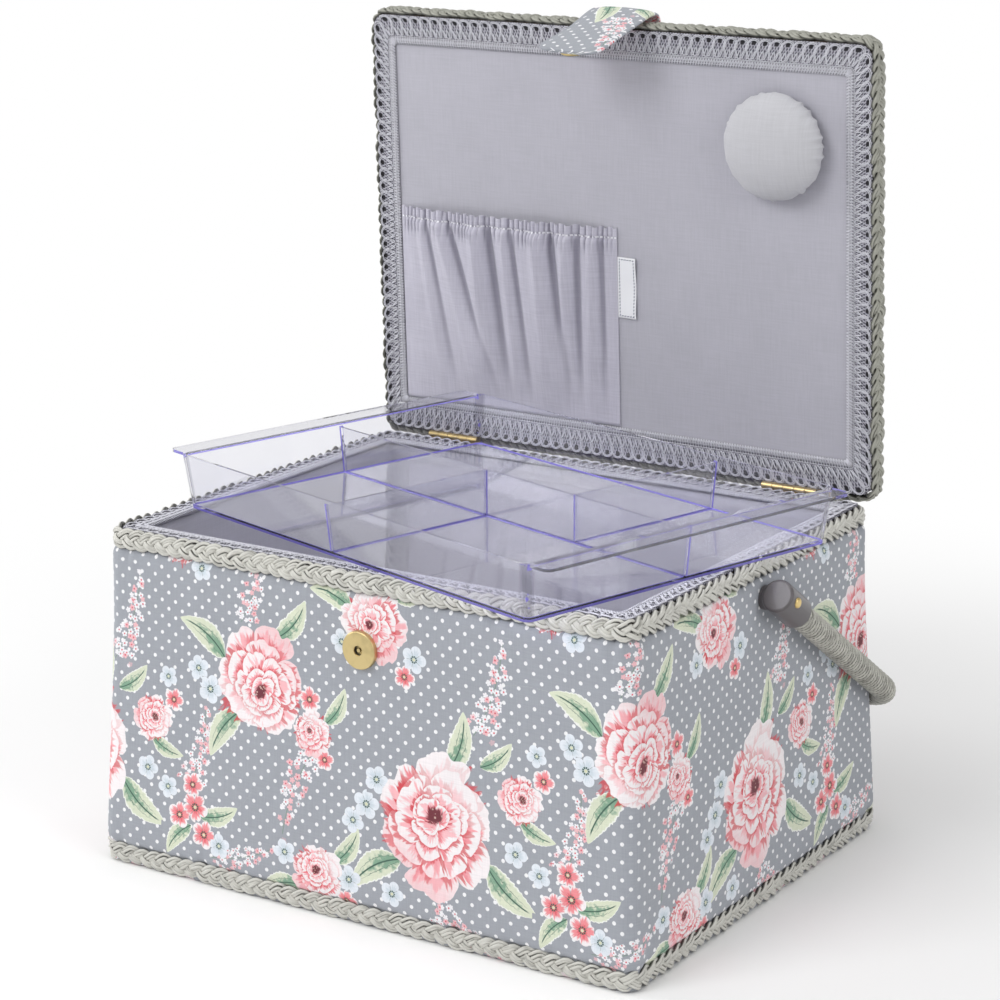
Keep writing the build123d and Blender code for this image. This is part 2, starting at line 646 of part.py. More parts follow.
elastic = loft([
    elastic_section(pocket_stitch - ELASTIC_WIDTH / 2), elastic_section(pocket_stitch + ELASTIC_WIDTH / 2),
], ruled=True)
save("pocket_elastic", open_lid(elastic))
label_front = hinge_y - pocket_top + LABEL_BELOW_TOP
label = block(
    pocket_right, pocket_right + LABEL_WIDTH, label_front, label_front + LABEL_LENGTH,
    lining_face - LABEL_THICKNESS, lining_face,
)
save("pocket_label", open_lid(label))

# Pincushion with a card under it; its crown is part of a sphere
cushion_y = lid_front + PINCUSHION_FROM_FRONT
crown_drop = PINCUSHION_HEIGHT - PINCUSHION_SHOULDER_HEIGHT
crown_radius = (PINCUSHION_SHOULDER_RADIUS ** 2 + crown_drop ** 2) / (2 * crown_drop)
crown_half_angle = math.asin(PINCUSHION_SHOULDER_RADIUS / crown_radius) / 2
crown_rise = crown_radius * (1 - math.cos(crown_half_angle))
cushion_profile = Polyline(
    (0, PINCUSHION_CARD_THICKNESS), (PINCUSHION_CARD_RADIUS, PINCUSHION_CARD_THICKNESS),
    (PINCUSHION_CARD_RADIUS, 0), (PINCUSHION_FOOT_RADIUS, 0),
)
cushion_side = ThreePointArc(
    (PINCUSHION_FOOT_RADIUS, 0), (PINCUSHION_RADIUS - 0.9, PINCUSHION_BELLY * 0.42),
    (PINCUSHION_RADIUS, PINCUSHION_BELLY),
)
cushion_shoulder = ThreePointArc(
    (PINCUSHION_RADIUS, PINCUSHION_BELLY), (PINCUSHION_RADIUS * 0.905, PINCUSHION_BELLY + 5.2),
    (PINCUSHION_SHOULDER_RADIUS, PINCUSHION_SHOULDER_HEIGHT),
)
cushion_top = ThreePointArc(
    (PINCUSHION_SHOULDER_RADIUS, PINCUSHION_SHOULDER_HEIGHT),
    (crown_radius * math.sin(crown_half_angle), PINCUSHION_HEIGHT - crown_rise),
    (0, PINCUSHION_HEIGHT),
)
cushion_axis = Line((0, PINCUSHION_HEIGHT), (0, PINCUSHION_CARD_THICKNESS))
cushion_outline = make_face(
    cushion_profile.edges() + cushion_side.edges() + cushion_shoulder.edges()
    + cushion_top.edges() + cushion_axis.edges()
)
cushion = revolve(Plane.XZ * cushion_outline, Axis.Z, 360)
cushion_place = Pos(pincushion_x, cushion_y, lining_face) * Rot(180, 0, 0)
save("pincushion", open_lid(cushion_place * cushion))
save("pincushion_card", open_lid(
    cushion_place * rod_z(0, PINCUSHION_CARD_THICKNESS, 0, 0, PINCUSHION_CARD_RADIUS - SCREW_CLEARANCE),
))

# Strap: its root is sewn to the lid, the rest folds down over the snap
fold_z = lid_top + STRAP_FOLD_OVER_LID
strap_y = snap_front - SNAP_GAP - STRAP_SNAP_THICKNESS - STRAP_THICKNESS / 2


def ribbon(points, bend):
    """A strip of the strap's width and thickness along points (y, z) with rounded bends."""
    path = FilletPolyline(*[(SNAP_X, y, z) for y, z in points], radius=bend)
    start = Plane(origin=path @ 0, x_dir=(1, 0, 0), z_dir=path % 0)
    return sweep(start * Rectangle(STRAP_WIDTH, STRAP_THICKNESS), path=path)


strap_root = ribbon([
    (lid_front + STRAP_ROOT_START, lid_top + STRAP_THICKNESS / 2),
    (lid_front + STRAP_DIP_START, lid_top + STRAP_DIP_OVER_LID),
    (lid_front + STRAP_RISE_START, lid_top + STRAP_RISE_OVER_LID),
    (lid_front + STRAP_FOLD_GAP, fold_z),
], STRAP_ROOT_BEND)
strap = ribbon([
    (lid_front - STRAP_FOLD_GAP, fold_z),
    (strap_y, fold_z - STRAP_SHOULDER_DROP),
    (strap_y, snap_z - STRAP_TIP_BELOW_SNAP),
], STRAP_SHOULDER_BEND)
strap = fillet(strap.edges().filter_by(Axis.Y).group_by(Axis.Z)[0], STRAP_TIP_ROUNDING)
strap_face = strap_y + STRAP_THICKNESS / 2
strap_washer_y = strap_y - SNAP_WASHER_THICKNESS / 2
strap = strap - rod_y(
    strap_washer_y - SNAP_CLEARANCE, strap_washer_y + SNAP_WASHER_THICKNESS + SNAP_CLEARANCE, SNAP_X, snap_z,
    STRAP_WASHER_RADIUS + SNAP_CLEARANCE,
)
strap = strap - rod_y(strap_washer_y, strap_face, SNAP_X, snap_z, SNAP_STEM_RADIUS + SCREW_CLEARANCE)
strap_snap = rod_y(strap_face, strap_face + STRAP_SNAP_THICKNESS, SNAP_X, snap_z, STRAP_SNAP_RADIUS)
strap_snap = fillet(strap_snap.edges().group_by(Axis.Y)[-1], SNAP_EDGE_ROUNDING)
strap_snap = strap_snap + rod_y(strap_washer_y, strap_face, SNAP_X, snap_z, SNAP_STEM_RADIUS)
strap_washer = rod_y(
    strap_washer_y, strap_washer_y + SNAP_WASHER_THICKNESS, SNAP_X, snap_z, STRAP_WASHER_RADIUS,
)
strap_washer = strap_washer - rod_y(
    strap_washer_y, strap_washer_y + SNAP_WASHER_THICKNESS, SNAP_X, snap_z,
    SNAP_STEM_RADIUS + SCREW_CLEARANCE,
)
fold_axis = Axis((0, lid_front, fold_z), (1, 0, 0))
save("strap_root", open_lid(strap_root))
save("strap", open_lid(strap.rotate(fold_axis, STRAP_REST_FOLD)))
save("strap_snap", open_lid(strap_snap.rotate(fold_axis, STRAP_REST_FOLD)))
save("strap_washer", open_lid(strap_washer.rotate(fold_axis, STRAP_REST_FOLD)))


# Handle: a bent core with a wound sleeve, moulded end sleeves with brass rivets, turning on two screws
def bail(start, radius, bore=0.0):
    """The bent round bar from a distance along both arms, lying flat with its arms along +Y."""
    path = FilletPolyline(
        (-handle_x, start), (-handle_x, arm_length), (handle_x, arm_length), (handle_x, start),
        radius=HANDLE_BEND_RADIUS,
    )
    ring = Circle(radius)
    if bore > 0:
        ring = ring - Circle(bore)
    return sweep(Plane(origin=path @ 0, z_dir=path % 0) * ring, path=path)


def swing(shape):
    """Turns a shape drawn flat about the pivot to the handle's rest position."""
    return Pos(0, HANDLE_PIVOT_Y, pivot_z) * Rot(-HANDLE_REST_ANGLE, 0, 0) * shape


core = bail(CAP_SOCKET_START, HANDLE_CORE_RADIUS)
rivet_seat_x = cap_outer_x - RIVET_SEAT
rivet_end_x = rivet_seat_x - RIVET_SHANK_LENGTH
cap = rod_y(-CAP_BEHIND_PIVOT, CAP_LENGTH, handle_x, 0, CAP_RADIUS)
cap = fillet(cap.edges().group_by(Axis.Y)[0], CAP_END_ROUNDING)
cap = cap + rod_x(cap_inner_x, handle_x, 0, 0, CAP_BOSS_RADIUS)
cap = cap - rod_y(
    CAP_SOCKET_START - HOLE_END_CLEARANCE, CAP_LENGTH, handle_x, 0, HANDLE_CORE_RADIUS + WINDING_CLEARANCE,
)
screw_end_x = cap_inner_x + HANDLE_SCREW_REACH
cap = cap - rod_x(
    cap_inner_x, screw_end_x + HOLE_END_CLEARANCE, 0, 0, HANDLE_SCREW_RADIUS + SCREW_CLEARANCE,
)
cap = cap - rod_x(
    rivet_end_x - HOLE_END_CLEARANCE, cap_outer_x, 0, 0, RIVET_SHANK_RADIUS + SCREW_CLEARANCE,
)
cap = cap - rod_x(rivet_seat_x, cap_outer_x, 0, 0, RIVET_HEAD_RADIUS + SCREW_CLEARANCE)
rivet = rod_x(rivet_seat_x, rivet_seat_x + RIVET_HEAD_HEIGHT, 0, 0, RIVET_HEAD_RADIUS)
rivet = fillet(rivet.edges().group_by(Axis.X)[-1], RIVET_HEAD_ROUNDING)
rivet = rivet + rod_x(rivet_end_x, rivet_seat_x, 0, 0, RIVET_SHANK_RADIUS)
save("handle_core", swing(core))
save("handle_wrap", swing(bail(CAP_LENGTH, HANDLE_WRAP_RADIUS, HANDLE_CORE_RADIUS + WINDING_CLEARANCE)))
save("handle_caps", swing(Compound(children=both_sides(cap))))
save("cap_rivets", swing(Compound(children=both_sides(rivet))))
screw = rod_x(
    inner_x, inner_x + HANDLE_SCREW_HEAD_HEIGHT, HANDLE_PIVOT_Y, pivot_z, HANDLE_SCREW_HEAD_RADIUS,
)
screw = screw + rod_x(
    inner_x + HANDLE_SCREW_HEAD_HEIGHT, screw_end_x, HANDLE_PIVOT_Y, pivot_z, HANDLE_SCREW_RADIUS,
)
spacer = rod_x(
    half_x, cap_inner_x - SPACER_CLEARANCE, HANDLE_PIVOT_Y, pivot_z, SPACER_RADIUS,
)
spacer = spacer - rod_x(
    half_x, cap_inner_x, HANDLE_PIVOT_Y, pivot_z, HANDLE_SCREW_RADIUS + SCREW_CLEARANCE,
)
save("handle_screws", Compound(children=both_sides(screw)))
save("handle_spacers", Compound(children=both_sides(spacer)))

# Clear tray with four compartments and a flange at each end, set askew on the rim
foot_length = tray_length - 2 * TRAY_DRAFT
foot_depth = tray_depth - 2 * TRAY_DRAFT
floor_draft = TRAY_DRAFT * (1 - TRAY_WALL / TRAY_HEIGHT)
tray_outer = loft([
    RectangleRounded(foot_length, foot_depth, TRAY_FOOT_RADIUS),
    Plane.XY.offset(TRAY_HEIGHT) * RectangleRounded(tray_length, tray_depth, TRAY_CORNER_RADIUS),
], ruled=True)
tray_inner = loft([
    Plane.XY.offset(TRAY_WALL) * RectangleRounded(
        tray_length - 2 * floor_draft - 2 * TRAY_WALL, tray_depth - 2 * floor_draft - 2 * TRAY_WALL,
        TRAY_FOOT_RADIUS - TRAY_WALL,
    ),
    Plane.XY.offset(TRAY_HEIGHT) * RectangleRounded(
        tray_length - 2 * TRAY_WALL, tray_depth - 2 * TRAY_WALL, TRAY_CORNER_RADIUS - TRAY_WALL,
    ),
], ruled=True)
half_wall = TRAY_WALL / 2
tray_dividers = [
    block(
        -tray_length / 2, tray_length / 2, TRAY_LONG_DIVIDER_Y - half_wall, TRAY_LONG_DIVIDER_Y + half_wall,
        0, TRAY_DIVIDER_HEIGHT,
    ),
    block(
        TRAY_FRONT_DIVIDER_X - half_wall, TRAY_FRONT_DIVIDER_X + half_wall,
        -tray_depth / 2, TRAY_LONG_DIVIDER_Y, 0, TRAY_DIVIDER_HEIGHT,
    ),
    block(
        TRAY_BACK_DIVIDER_X - half_wall, TRAY_BACK_DIVIDER_X + half_wall, TRAY_LONG_DIVIDER_Y, tray_depth / 2,
        0, TRAY_DIVIDER_HEIGHT,
    ),
]
tray_room = cut_all(tray_inner, tray_dividers)
flange = rounded_plate(
    tray_length + 2 * TRAY_FLANGE, tray_depth - 2 * TRAY_FLANGE_END_INSET, TRAY_FOOT_RADIUS,
    TRAY_HEIGHT - TRAY_WALL, TRAY_HEIGHT,
)
tray = tray_outer + flange - tray_room
tray_place = Pos(TRAY_CENTRE_X, tray_centre_y, rim_top + REST_CLEARANCE) * Rot(0, 0, TRAY_YAW)
save("tray", tray_place * tray)
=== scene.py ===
"""Looks of the fabric covered sewing box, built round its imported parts. Shapes are worked out in
millimetres in the part's frame; lid pieces are drawn for the shut lid and then turned open."""

import math

import bmesh
import bpy
import numpy as np
from mathutils import Matrix, Vector


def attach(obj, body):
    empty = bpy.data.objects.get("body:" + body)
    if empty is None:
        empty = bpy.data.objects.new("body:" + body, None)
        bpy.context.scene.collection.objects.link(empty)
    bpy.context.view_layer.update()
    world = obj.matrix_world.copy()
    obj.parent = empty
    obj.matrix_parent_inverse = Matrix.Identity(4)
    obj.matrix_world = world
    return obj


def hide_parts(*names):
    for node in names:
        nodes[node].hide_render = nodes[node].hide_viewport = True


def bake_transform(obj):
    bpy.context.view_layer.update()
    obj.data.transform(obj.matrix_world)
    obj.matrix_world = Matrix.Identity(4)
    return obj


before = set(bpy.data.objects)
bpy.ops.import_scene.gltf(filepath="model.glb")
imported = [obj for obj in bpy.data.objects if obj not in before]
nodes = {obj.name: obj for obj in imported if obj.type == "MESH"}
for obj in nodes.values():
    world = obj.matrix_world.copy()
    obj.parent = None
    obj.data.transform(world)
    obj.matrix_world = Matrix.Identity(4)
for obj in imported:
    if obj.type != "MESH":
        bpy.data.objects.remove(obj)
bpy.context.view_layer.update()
TURN = 2 * math.pi

# Sizes shared with the part, in millimetres
BOX_X, BOX_Y, BOX_HEIGHT, BOX_CORNER = 162.5, 126.0, 185.0, 9.0
HINGE_X, HINGE_Y, HINGE_Z, LID_ANGLE = 112.0, 127.5, 186.5, math.radians(-88)
LID_FRONT, LID_REAR = -124.5, 128.5
LID_MIDDLE = (LID_REAR + LID_FRONT) / 2
LINING_Z = 189.0
COVER_FOOT, WALL_FOOT, WALL_TOP = 1.05, 6.1, 181.9
PIVOT_Y, PIVOT_Z, REST_ANGLE = 5.0, 164.55, math.radians(34.4)

# Top of the bottom braid and foot of the top braid, between which the printed walls show
BRAID_TOP, BRAID_FOOT = 11.0, 175.5

# How far the foot spreads, and the height that it spreads from
SPREAD_X, SPREAD_FROM_X = 5.2, 157.0
SPREAD_Y, SPREAD_FROM_Y = 6.6, 134.0

# The print: spacing of its dots, size of its tile, and the room each motif has in its map
DOT_PITCH = 8.895
TILE_X, TILE_Y = 227.7, 196.0
ROOM, ROOM_END = 8.0, 3.9


def opened(points):
    """Points drawn for the shut lid, turned about the hinge line to the open rest position."""
    y, z = points[..., 1] - HINGE_Y, points[..., 2] - HINGE_Z
    c, s = math.cos(LID_ANGLE), math.sin(LID_ANGLE)
    return np.stack([points[..., 0], HINGE_Y + y * c - z * s, HINGE_Z + y * s + z * c], -1)


def unit(vectors):
    """Vectors divided by their lengths."""
    return vectors / np.maximum(np.linalg.norm(vectors, axis=-1, keepdims=True), 1e-9)


def ripple(angle, terms, seed):
    """A wavy line that closes on itself: a sum of sines, each (waves round the loop, height)."""
    phase = np.random.default_rng(seed).uniform(0, TURN, len(terms))
    return sum(h * np.sin(n * angle + p) for (n, h), p in zip(terms, phase))


def soft_step(x, start, end):
    """0 before start and 1 after end, with the cubic 3t2 less 2t3 between."""
    t = np.clip((x - start) / (end - start), 0, 1)
    return t * t * (3 - 2 * t)


# A rounded rectangle is nine stretches: half the front, then corner, side, corner, back and so on
SIGN_X = np.array([0, 1, 1, 1, 1, -1, -1, -1, -1, 0.0])
SIGN_Y = np.array([-1, -1, -1, 1, 1, 1, 1, -1, -1, -1.0])
HEADING = np.radians([-90, -90, 0, 0, 90, 90, 180, 180, 270, 270.0])


def ring_stretches(half_x, half_y, radius, count):
    """Even steps round a rounded rectangle from the middle of its front, as (stretch number, length)."""
    flat_x, flat_y, bend = half_x - radius, half_y - radius, radius * TURN / 4
    knots = np.cumsum([0, flat_x, bend, 2 * flat_y, bend, 2 * flat_x, bend, 2 * flat_y, bend, flat_x])
    length = np.linspace(0, knots[-1], count + 1)
    return np.interp(length, knots, np.arange(10)), length


def on_ring(stretch, half_x, half_y, radius):
    """Point and outward direction on a rounded rectangle: the corner's centre plus radius times direction."""
    heading = np.interp(stretch, np.arange(10), HEADING)
    x = np.interp(stretch, np.arange(10), SIGN_X) * (half_x - radius) + radius * np.cos(heading)
    y = np.interp(stretch, np.arange(10), SIGN_Y) * (half_y - radius) + radius * np.sin(heading)
    return x, y, np.cos(heading), np.sin(heading)


def grid_faces(rows, columns, closed_rows=False, closed_columns=False):
    """Quads of a grid of points kept row by row; either direction may close on itself."""
    r, c = np.meshgrid(
        np.arange(rows - (not closed_rows)), np.arange(columns - (not closed_columns)), indexing="ij",
    )
    r2, c2 = (r + 1) % rows, (c + 1) % columns
    corners = [r * columns + c, r * columns + c2, r2 * columns + c2, r2 * columns + c]
    return np.stack(corners, -1).reshape(-1, 4)


def grid_map(u, v):
    """Corner values for each quad of a grid, from values on the grid's lines."""
    pair = np.stack(np.broadcast_arrays(u, v), -1)
    corners = [pair[:-1, :-1], pair[:-1, 1:], pair[1:, 1:], pair[1:, :-1]]
    return np.stack(corners, 2).reshape(-1, 4, 2)


def put(name, data):
    """A new object in the scene."""
    made = bpy.data.objects.new(name, data)
    bpy.context.scene.collection.objects.link(made)
    return made


def make_piece(name, points, faces, body, finish, maps=None, closed=True):
    """A smooth mesh from points in millimetres and quads, facing outwards, that rides on a body."""
    points = points.reshape(-1, 3)
    if closed:
        a, b, c, d = (points[faces[:, k]] for k in range(4))
        volume = np.einsum("ij,ij->", a, np.cross(b, c)) + np.einsum("ij,ij->", a, np.cross(c, d))
        if volume < 0:
            faces = faces[:, ::-1]
            maps = {key: value[:, ::-1] for key, value in (maps or {}).items()}
    mesh = bpy.data.meshes.new(name)
    mesh.vertices.add(len(points))
    mesh.vertices.foreach_set("co", (points * 0.001).astype(np.float32).ravel())
    mesh.loops.add(faces.size)
    mesh.loops.foreach_set("vertex_index", faces.astype(np.int32).ravel())
    mesh.polygons.add(len(faces))
    mesh.polygons.foreach_set("loop_start", np.arange(0, faces.size, 4, dtype=np.int32))
    mesh.update(calc_edges=True)
    mesh.polygons.foreach_set("use_smooth", np.ones(len(faces), bool))
    for key, value in (maps or {}).items():
        layer = mesh.uv_layers.new(name=key)
        layer.data.foreach_set("uv", value.astype(np.float32).ravel())
    mesh.materials.append(finish)
    piece = put(name, mesh)
    if body:
        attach(piece, body)
    return piece


def strand_tubes(paths, up, wide, thick, sides=6, closed=True):
    """Oval tubes along paths (strand, step, 3). At each step the ring is wide times cosine across the
    strand plus thick times sine along up. Its map runs along the strand and once round it."""
    strands, steps = paths.shape[:2]
    ahead, behind = np.roll(paths, -1, 1), np.roll(paths, 1, 1)
    if not closed:
        ahead[:, -1], behind[:, 0] = paths[:, -1], paths[:, 0]
    tangent = unit(ahead - behind)
    across = unit(np.cross(tangent, up))
    lift = np.cross(across, tangent)
    angle = np.arange(sides) / sides * TURN
    wide, thick = (np.broadcast_to(k, (strands, steps))[..., None, None] for k in (wide, thick))
    rings = (
        paths[:, :, None] + wide * np.cos(angle)[:, None] * across[:, :, None]
        + thick * np.sin(angle)[:, None] * lift[:, :, None]
    )
    one = grid_faces(steps, sides, closed, True)
    if not closed:
        fan = np.array([[0, 2 * k + 1, 2 * k + 2, 2 * k + 3] for k in range(sides // 2 - 1)])
        one = np.concatenate([one, fan, fan[:, ::-1] + (steps - 1) * sides])
    faces = (one[None] + np.arange(strands)[:, None, None] * steps * sides).reshape(-1, 4)
    gaps = np.linalg.norm(ahead - paths, axis=-1)
    along = np.concatenate([np.zeros((strands, 1)), np.cumsum(gaps, 1)], 1)
    along = along if closed else along[:, :steps]
    maps = [grid_map(line[:, None], np.linspace(0, 1, sides + 1)[None]) for line in along]
    if not closed:
        maps = [np.concatenate([m, np.zeros((sides - 2, 4, 2))]) for m in maps]
    for k, m in enumerate(maps):
        m[..., 1] += k
    return rings.reshape(-1, 3), faces, {"strand": np.concatenate(maps)}


def joined(parts):
    """Several (points, faces, maps) as one."""
    offsets = np.cumsum([0] + [len(p) for p, _, _ in parts[:-1]])
    points = np.concatenate([p for p, _, _ in parts])
    faces = np.concatenate([f + o for (_, f, _), o in zip(parts, offsets)])
    keys = parts[0][2].keys()
    return points, faces, {k: np.concatenate([m[k] for _, _, m in parts]) for k in keys}


# Shader nodes: numbers in a tree can be added, multiplied and compared like plain ones


def plug(tree, socket, value):
    """Links a value into a socket, or sets it there if it is plain."""
    if isinstance(value, Num):
        value = value.socket
    if isinstance(value, bpy.types.NodeSocket):
        tree.links.new(value, socket)
    else:
        socket.default_value = value


class Num:
    """A number worked out by nodes; arithmetic on it adds Math nodes."""

    def __init__(self, tree, socket):
        self.tree, self.socket = tree, socket

    def math(self, operation, *others):
        node = self.tree.nodes.new("ShaderNodeMath")
        node.operation = operation
        for socket, value in zip(node.inputs, (self, *others)):
            plug(self.tree, socket, value)
        return Num(self.tree, node.outputs[0])

    def __add__(self, other):
        return self.math("ADD", other)

    def __mul__(self, other):
        return self.math("MULTIPLY", other)

    def __sub__(self, other):
        return self.math("SUBTRACT", other)

    def __truediv__(self, other):
        return self.math("DIVIDE", other)

    def __pow__(self, other):
        return self.math("POWER", other)

    def __mod__(self, other):
        return self.math("FLOORED_MODULO", other)

    def __abs__(self):
        return self.math("ABSOLUTE")

    def flip(self):
        """One less the number."""
        return self * -1.0 + 1.0

    def rise(self, start, end):
        """0 before start and 1 after end, with a soft step between."""
        node = self.tree.nodes.new("ShaderNodeMapRange")
        node.interpolation_type = "SMOOTHSTEP"
        plug(self.tree, node.inputs["Value"], self)
        node.inputs["From Min"].default_value = start
        node.inputs["From Max"].default_value = end
        return Num(self.tree, node.outputs["Result"])

    def fall(self, start, end):
        """1 before start and 0 after end."""
        return self.rise(start, end).flip()


def srgb(red, green, blue):
    """A colour as it looks on screen, 0 to 255, in the renderer's linear numbers."""
    c = np.array([red, green, blue]) / 255
    return (*np.where(c < 0.04045, c / 12.92, ((c + 0.055) / 1.055) ** 2.4), 1.0)


def mixed(tree, share, under, over):
    """One colour over another, by share."""
    node = tree.nodes.new("ShaderNodeMix")
    node.data_type = "RGBA"
    for socket, value in zip((node.inputs[0], node.inputs[6], node.inputs[7]), (share, under, over)):
        plug(tree, socket, value)
    return node.outputs[2]


def split(tree, vector):
    """The x, y and z of a vector."""
    node = tree.nodes.new("ShaderNodeSeparateXYZ")
    plug(tree, node.inputs[0], vector)
    return [Num(tree, s) for s in node.outputs]


def vector(tree, x=0.0, y=0.0, z=0.0):
    """A vector put together from numbers."""
    node = tree.nodes.new("ShaderNodeCombineXYZ")
    for socket, value in zip(node.inputs, (x, y, z)):
        plug(tree, socket, value)
    return node.outputs[0]


def noise(tree, place, scale, detail=2.0):
    """Noise between about 0.2 and 0.8, with a middle of 0.5."""
    node = tree.nodes.new("ShaderNodeTexNoise")
    plug(tree, node.inputs["Vector"], place)
    node.inputs["Scale"].default_value = scale
    node.inputs["Detail"].default_value = detail
    return Num(tree, node.outputs[0])


def cells(tree, place, scale):
    """Distance to the nearest of scattered points."""
    node = tree.nodes.new("ShaderNodeTexVoronoi")
    plug(tree, node.inputs["Vector"], place)
    node.inputs["Scale"].default_value = scale
    return Num(tree, node.outputs["Distance"])


def reach_of(x, y):
    """Distance from the middle: the root of x squared plus y squared."""
    return (x * x + y * y) ** 0.5


def own_map(tree, name):
    """One of the piece's own maps."""
    node = tree.nodes.new("ShaderNodeUVMap")
    node.uv_map = name
    return node.outputs[0]


def object_place(tree):
    """Place on the piece, in metres."""
    return tree.nodes.new("ShaderNodeTexCoord").outputs["Object"]


def group(name, inputs, outputs):
    """A new node group with named sockets, and its two end nodes."""
    tree = bpy.data.node_groups.new(name, "ShaderNodeTree")
    for way, sockets in (("INPUT", inputs), ("OUTPUT", outputs)):
        for label, kind in sockets.items():
            tree.interface.new_socket(label, in_out=way, socket_type="NodeSocket" + kind)
    return tree, tree.nodes.new("NodeGroupInput"), tree.nodes.new("NodeGroupOutput")


def placed(tree, shared, **values):
    """A node group placed in a tree with its own values."""
    node = tree.nodes.new("ShaderNodeGroup")
    node.node_tree = shared
    for label, value in values.items():
        plug(tree, node.inputs[label], value)
    return node


def give_out(tree, end, **values):
    """Links values to the named outputs of a node group."""
    for label, value in values.items():
        plug(tree, end.inputs[label], value)


def material(name, **plain):
    """A material with its shader's plain numbers set on the shader itself."""
    made = bpy.data.materials.new(name)
    made.use_nodes = True
    shader = made.node_tree.nodes["Principled BSDF"]
    for label, value in plain.items():
        shader.inputs[label.replace("_", " ")].default_value = value
    return made, made.node_tree, shader


def dress(tree, shader, colour, height, depth):
    """Gives a shader its colour, and relief from a height; the depth is in metres."""
    plug(tree, shader.inputs["Base Color"], colour)
    node = tree.nodes.new("ShaderNodeBump")
    node.inputs["Distance"].default_value = depth
    plug(tree, node.inputs["Height"], height)
    tree.links.new(node.outputs[0], shader.inputs["Normal"])


def shaded(colour, share):
    """A colour made darker or paler by a share, up to white."""
    return (*(min(1.0, c * share) for c in colour[:3]), 1.0)


def seen_by(tree, *rays):
    """1 where a ray of one of these kinds looks, 0 for all others."""
    path = tree.nodes.new("ShaderNodeLightPath")
    share = Num(tree, path.outputs[f"Is {rays[0]} Ray"])
    for ray in rays[1:]:
        share = share.math("MAXIMUM", Num(tree, path.outputs[f"Is {ray} Ray"]))
    return share


def blend_shaders(tree, share, under, over):
    """One shader over another, by share, as the surface of the material."""
    blend = tree.nodes.new("ShaderNodeMixShader")
    for socket, value in zip(blend.inputs, (share, under.outputs[0], over.outputs[0])):
        plug(tree, socket, value)
    tree.links.new(blend.outputs[0], tree.nodes["Material Output"].inputs["Surface"])


# Shared effects


def weave_group():
    """Plain weave: warp and weft each rise as a cosine and take turns, with slubs along the threads."""
    tree, start, end = group(
        "weave", {"Place": "Vector", "Threads": "Float"}, {"Height": "Float", "Shade": "Float"},
    )
    x, y, _ = split(tree, start.outputs["Place"])
    x, y = x * Num(tree, start.outputs["Threads"]), y * Num(tree, start.outputs["Threads"])
    warp, weft = (x * TURN).math("COSINE"), (y * TURN).math("COSINE")
    over = ((x * (TURN / 2)).math("SINE") * (y * (TURN / 2)).math("SINE")).rise(-0.3, 0.3)
    height = warp * over + weft * over.flip()
    slub_x = noise(tree, vector(tree, x * 0.6, y * 0.03), 1.0)
    slub_y = noise(tree, vector(tree, x * 0.03, y * 0.6), 1.0)
    give_out(tree, end, Height=height * 0.5 + 0.5, Shade=slub_x + slub_y - 1.0)
    return tree


def fibre_group():
    """Fine glossy fibres along a strand: noise drawn out along the strand's length."""
    tree, start, end = group(
        "fibres", {"Strand": "Vector", "Count": "Float"}, {"Height": "Float", "Shade": "Float"},
    )
    along, around, _ = split(tree, start.outputs["Strand"])
    lines = noise(tree, vector(tree, along * 0.06, around * Num(tree, start.outputs["Count"])), 1.0, 3.0)
    patches = noise(tree, vector(tree, along * 0.12, around * 0.8), 1.0)
    give_out(tree, end, Height=lines, Shade=lines * 0.7 + patches * 0.6 - 0.65)
    return tree


WEAVE, FIBRES = weave_group(), fibre_group()

PINK, PALE, CREAM = srgb(246, 158, 166), srgb(250, 194, 200), srgb(250, 243, 245)
ROSE, RED, DEEP = srgb(233, 98, 110), srgb(214, 48, 60), srgb(112, 34, 48)


def petal_group():
    """A ring of petals over a colour. Round the ring each petal's outline is 0.74 plus 0.24 times a lobe,
    times its own size; brushed streaks feather its pale rim and its red foot. One side of a petal is in
    shade and the other turns up pale, so that the petals seem to lie over one another."""
    tree, start, end = group(
        "petals",
        {"Under": "Color", "X": "Float", "Y": "Float", "Size": "Float", "Petals": "Float",
         "Twist": "Float", "Streak": "Float", "Shadow": "Float"},
        {"Colour": "Color", "Inside": "Float"},
    )
    x, y, size, petals, twist, streak, shadow = (
        Num(tree, start.outputs[k]) for k in ("X", "Y", "Size", "Petals", "Twist", "Streak", "Shadow")
    )
    reach = reach_of(x, y)
    around = y.math("ARCTAN2", x) / TURN * petals + twist + reach / size * 0.4
    part = around % 1.0
    own = ((around.math("FLOOR") % petals) * 0.618 + twist * 3.7) % 1.0
    lobe = (part * part.flip() * 4.0) ** 0.45
    notch = abs(part - 0.45).fall(0.0, 0.16) * own.rise(0.3, 0.5) * 0.07
    t = reach / ((lobe * 0.24 + 0.74 - notch + streak * 0.07) * (own * 0.2 + 0.86) * size)
    petal = mixed(tree, own.rise(0.2, 0.8), PINK, PALE)
    petal = mixed(tree, (part + streak * 0.5).fall(0.08, 0.26) * t.rise(0.35, 0.6) * 0.7, petal, ROSE)
    petal = mixed(tree, (t - streak * 1.2).fall(0.42, 0.54) * 0.8, petal, ROSE)
    petal = mixed(tree, (t - streak * 1.2).fall(0.36, 0.45) * 0.9, petal, RED)
    petal = mixed(tree, (part + streak * 0.2).rise(0.80, 0.95) * t.rise(0.4, 0.7), petal, CREAM)
    petal = mixed(tree, (t + streak * 1.1 + part * 0.10).rise(0.76, 0.88), petal, CREAM)
    under = mixed(tree, (t - streak * 0.9).fall(1.02, 1.12) * shadow, start.outputs["Under"], RED)
    inside = t.fall(0.985, 1.0)
    give_out(tree, end, Colour=mixed(tree, inside, under, petal), Inside=inside)
    return tree


PETALS = petal_group()


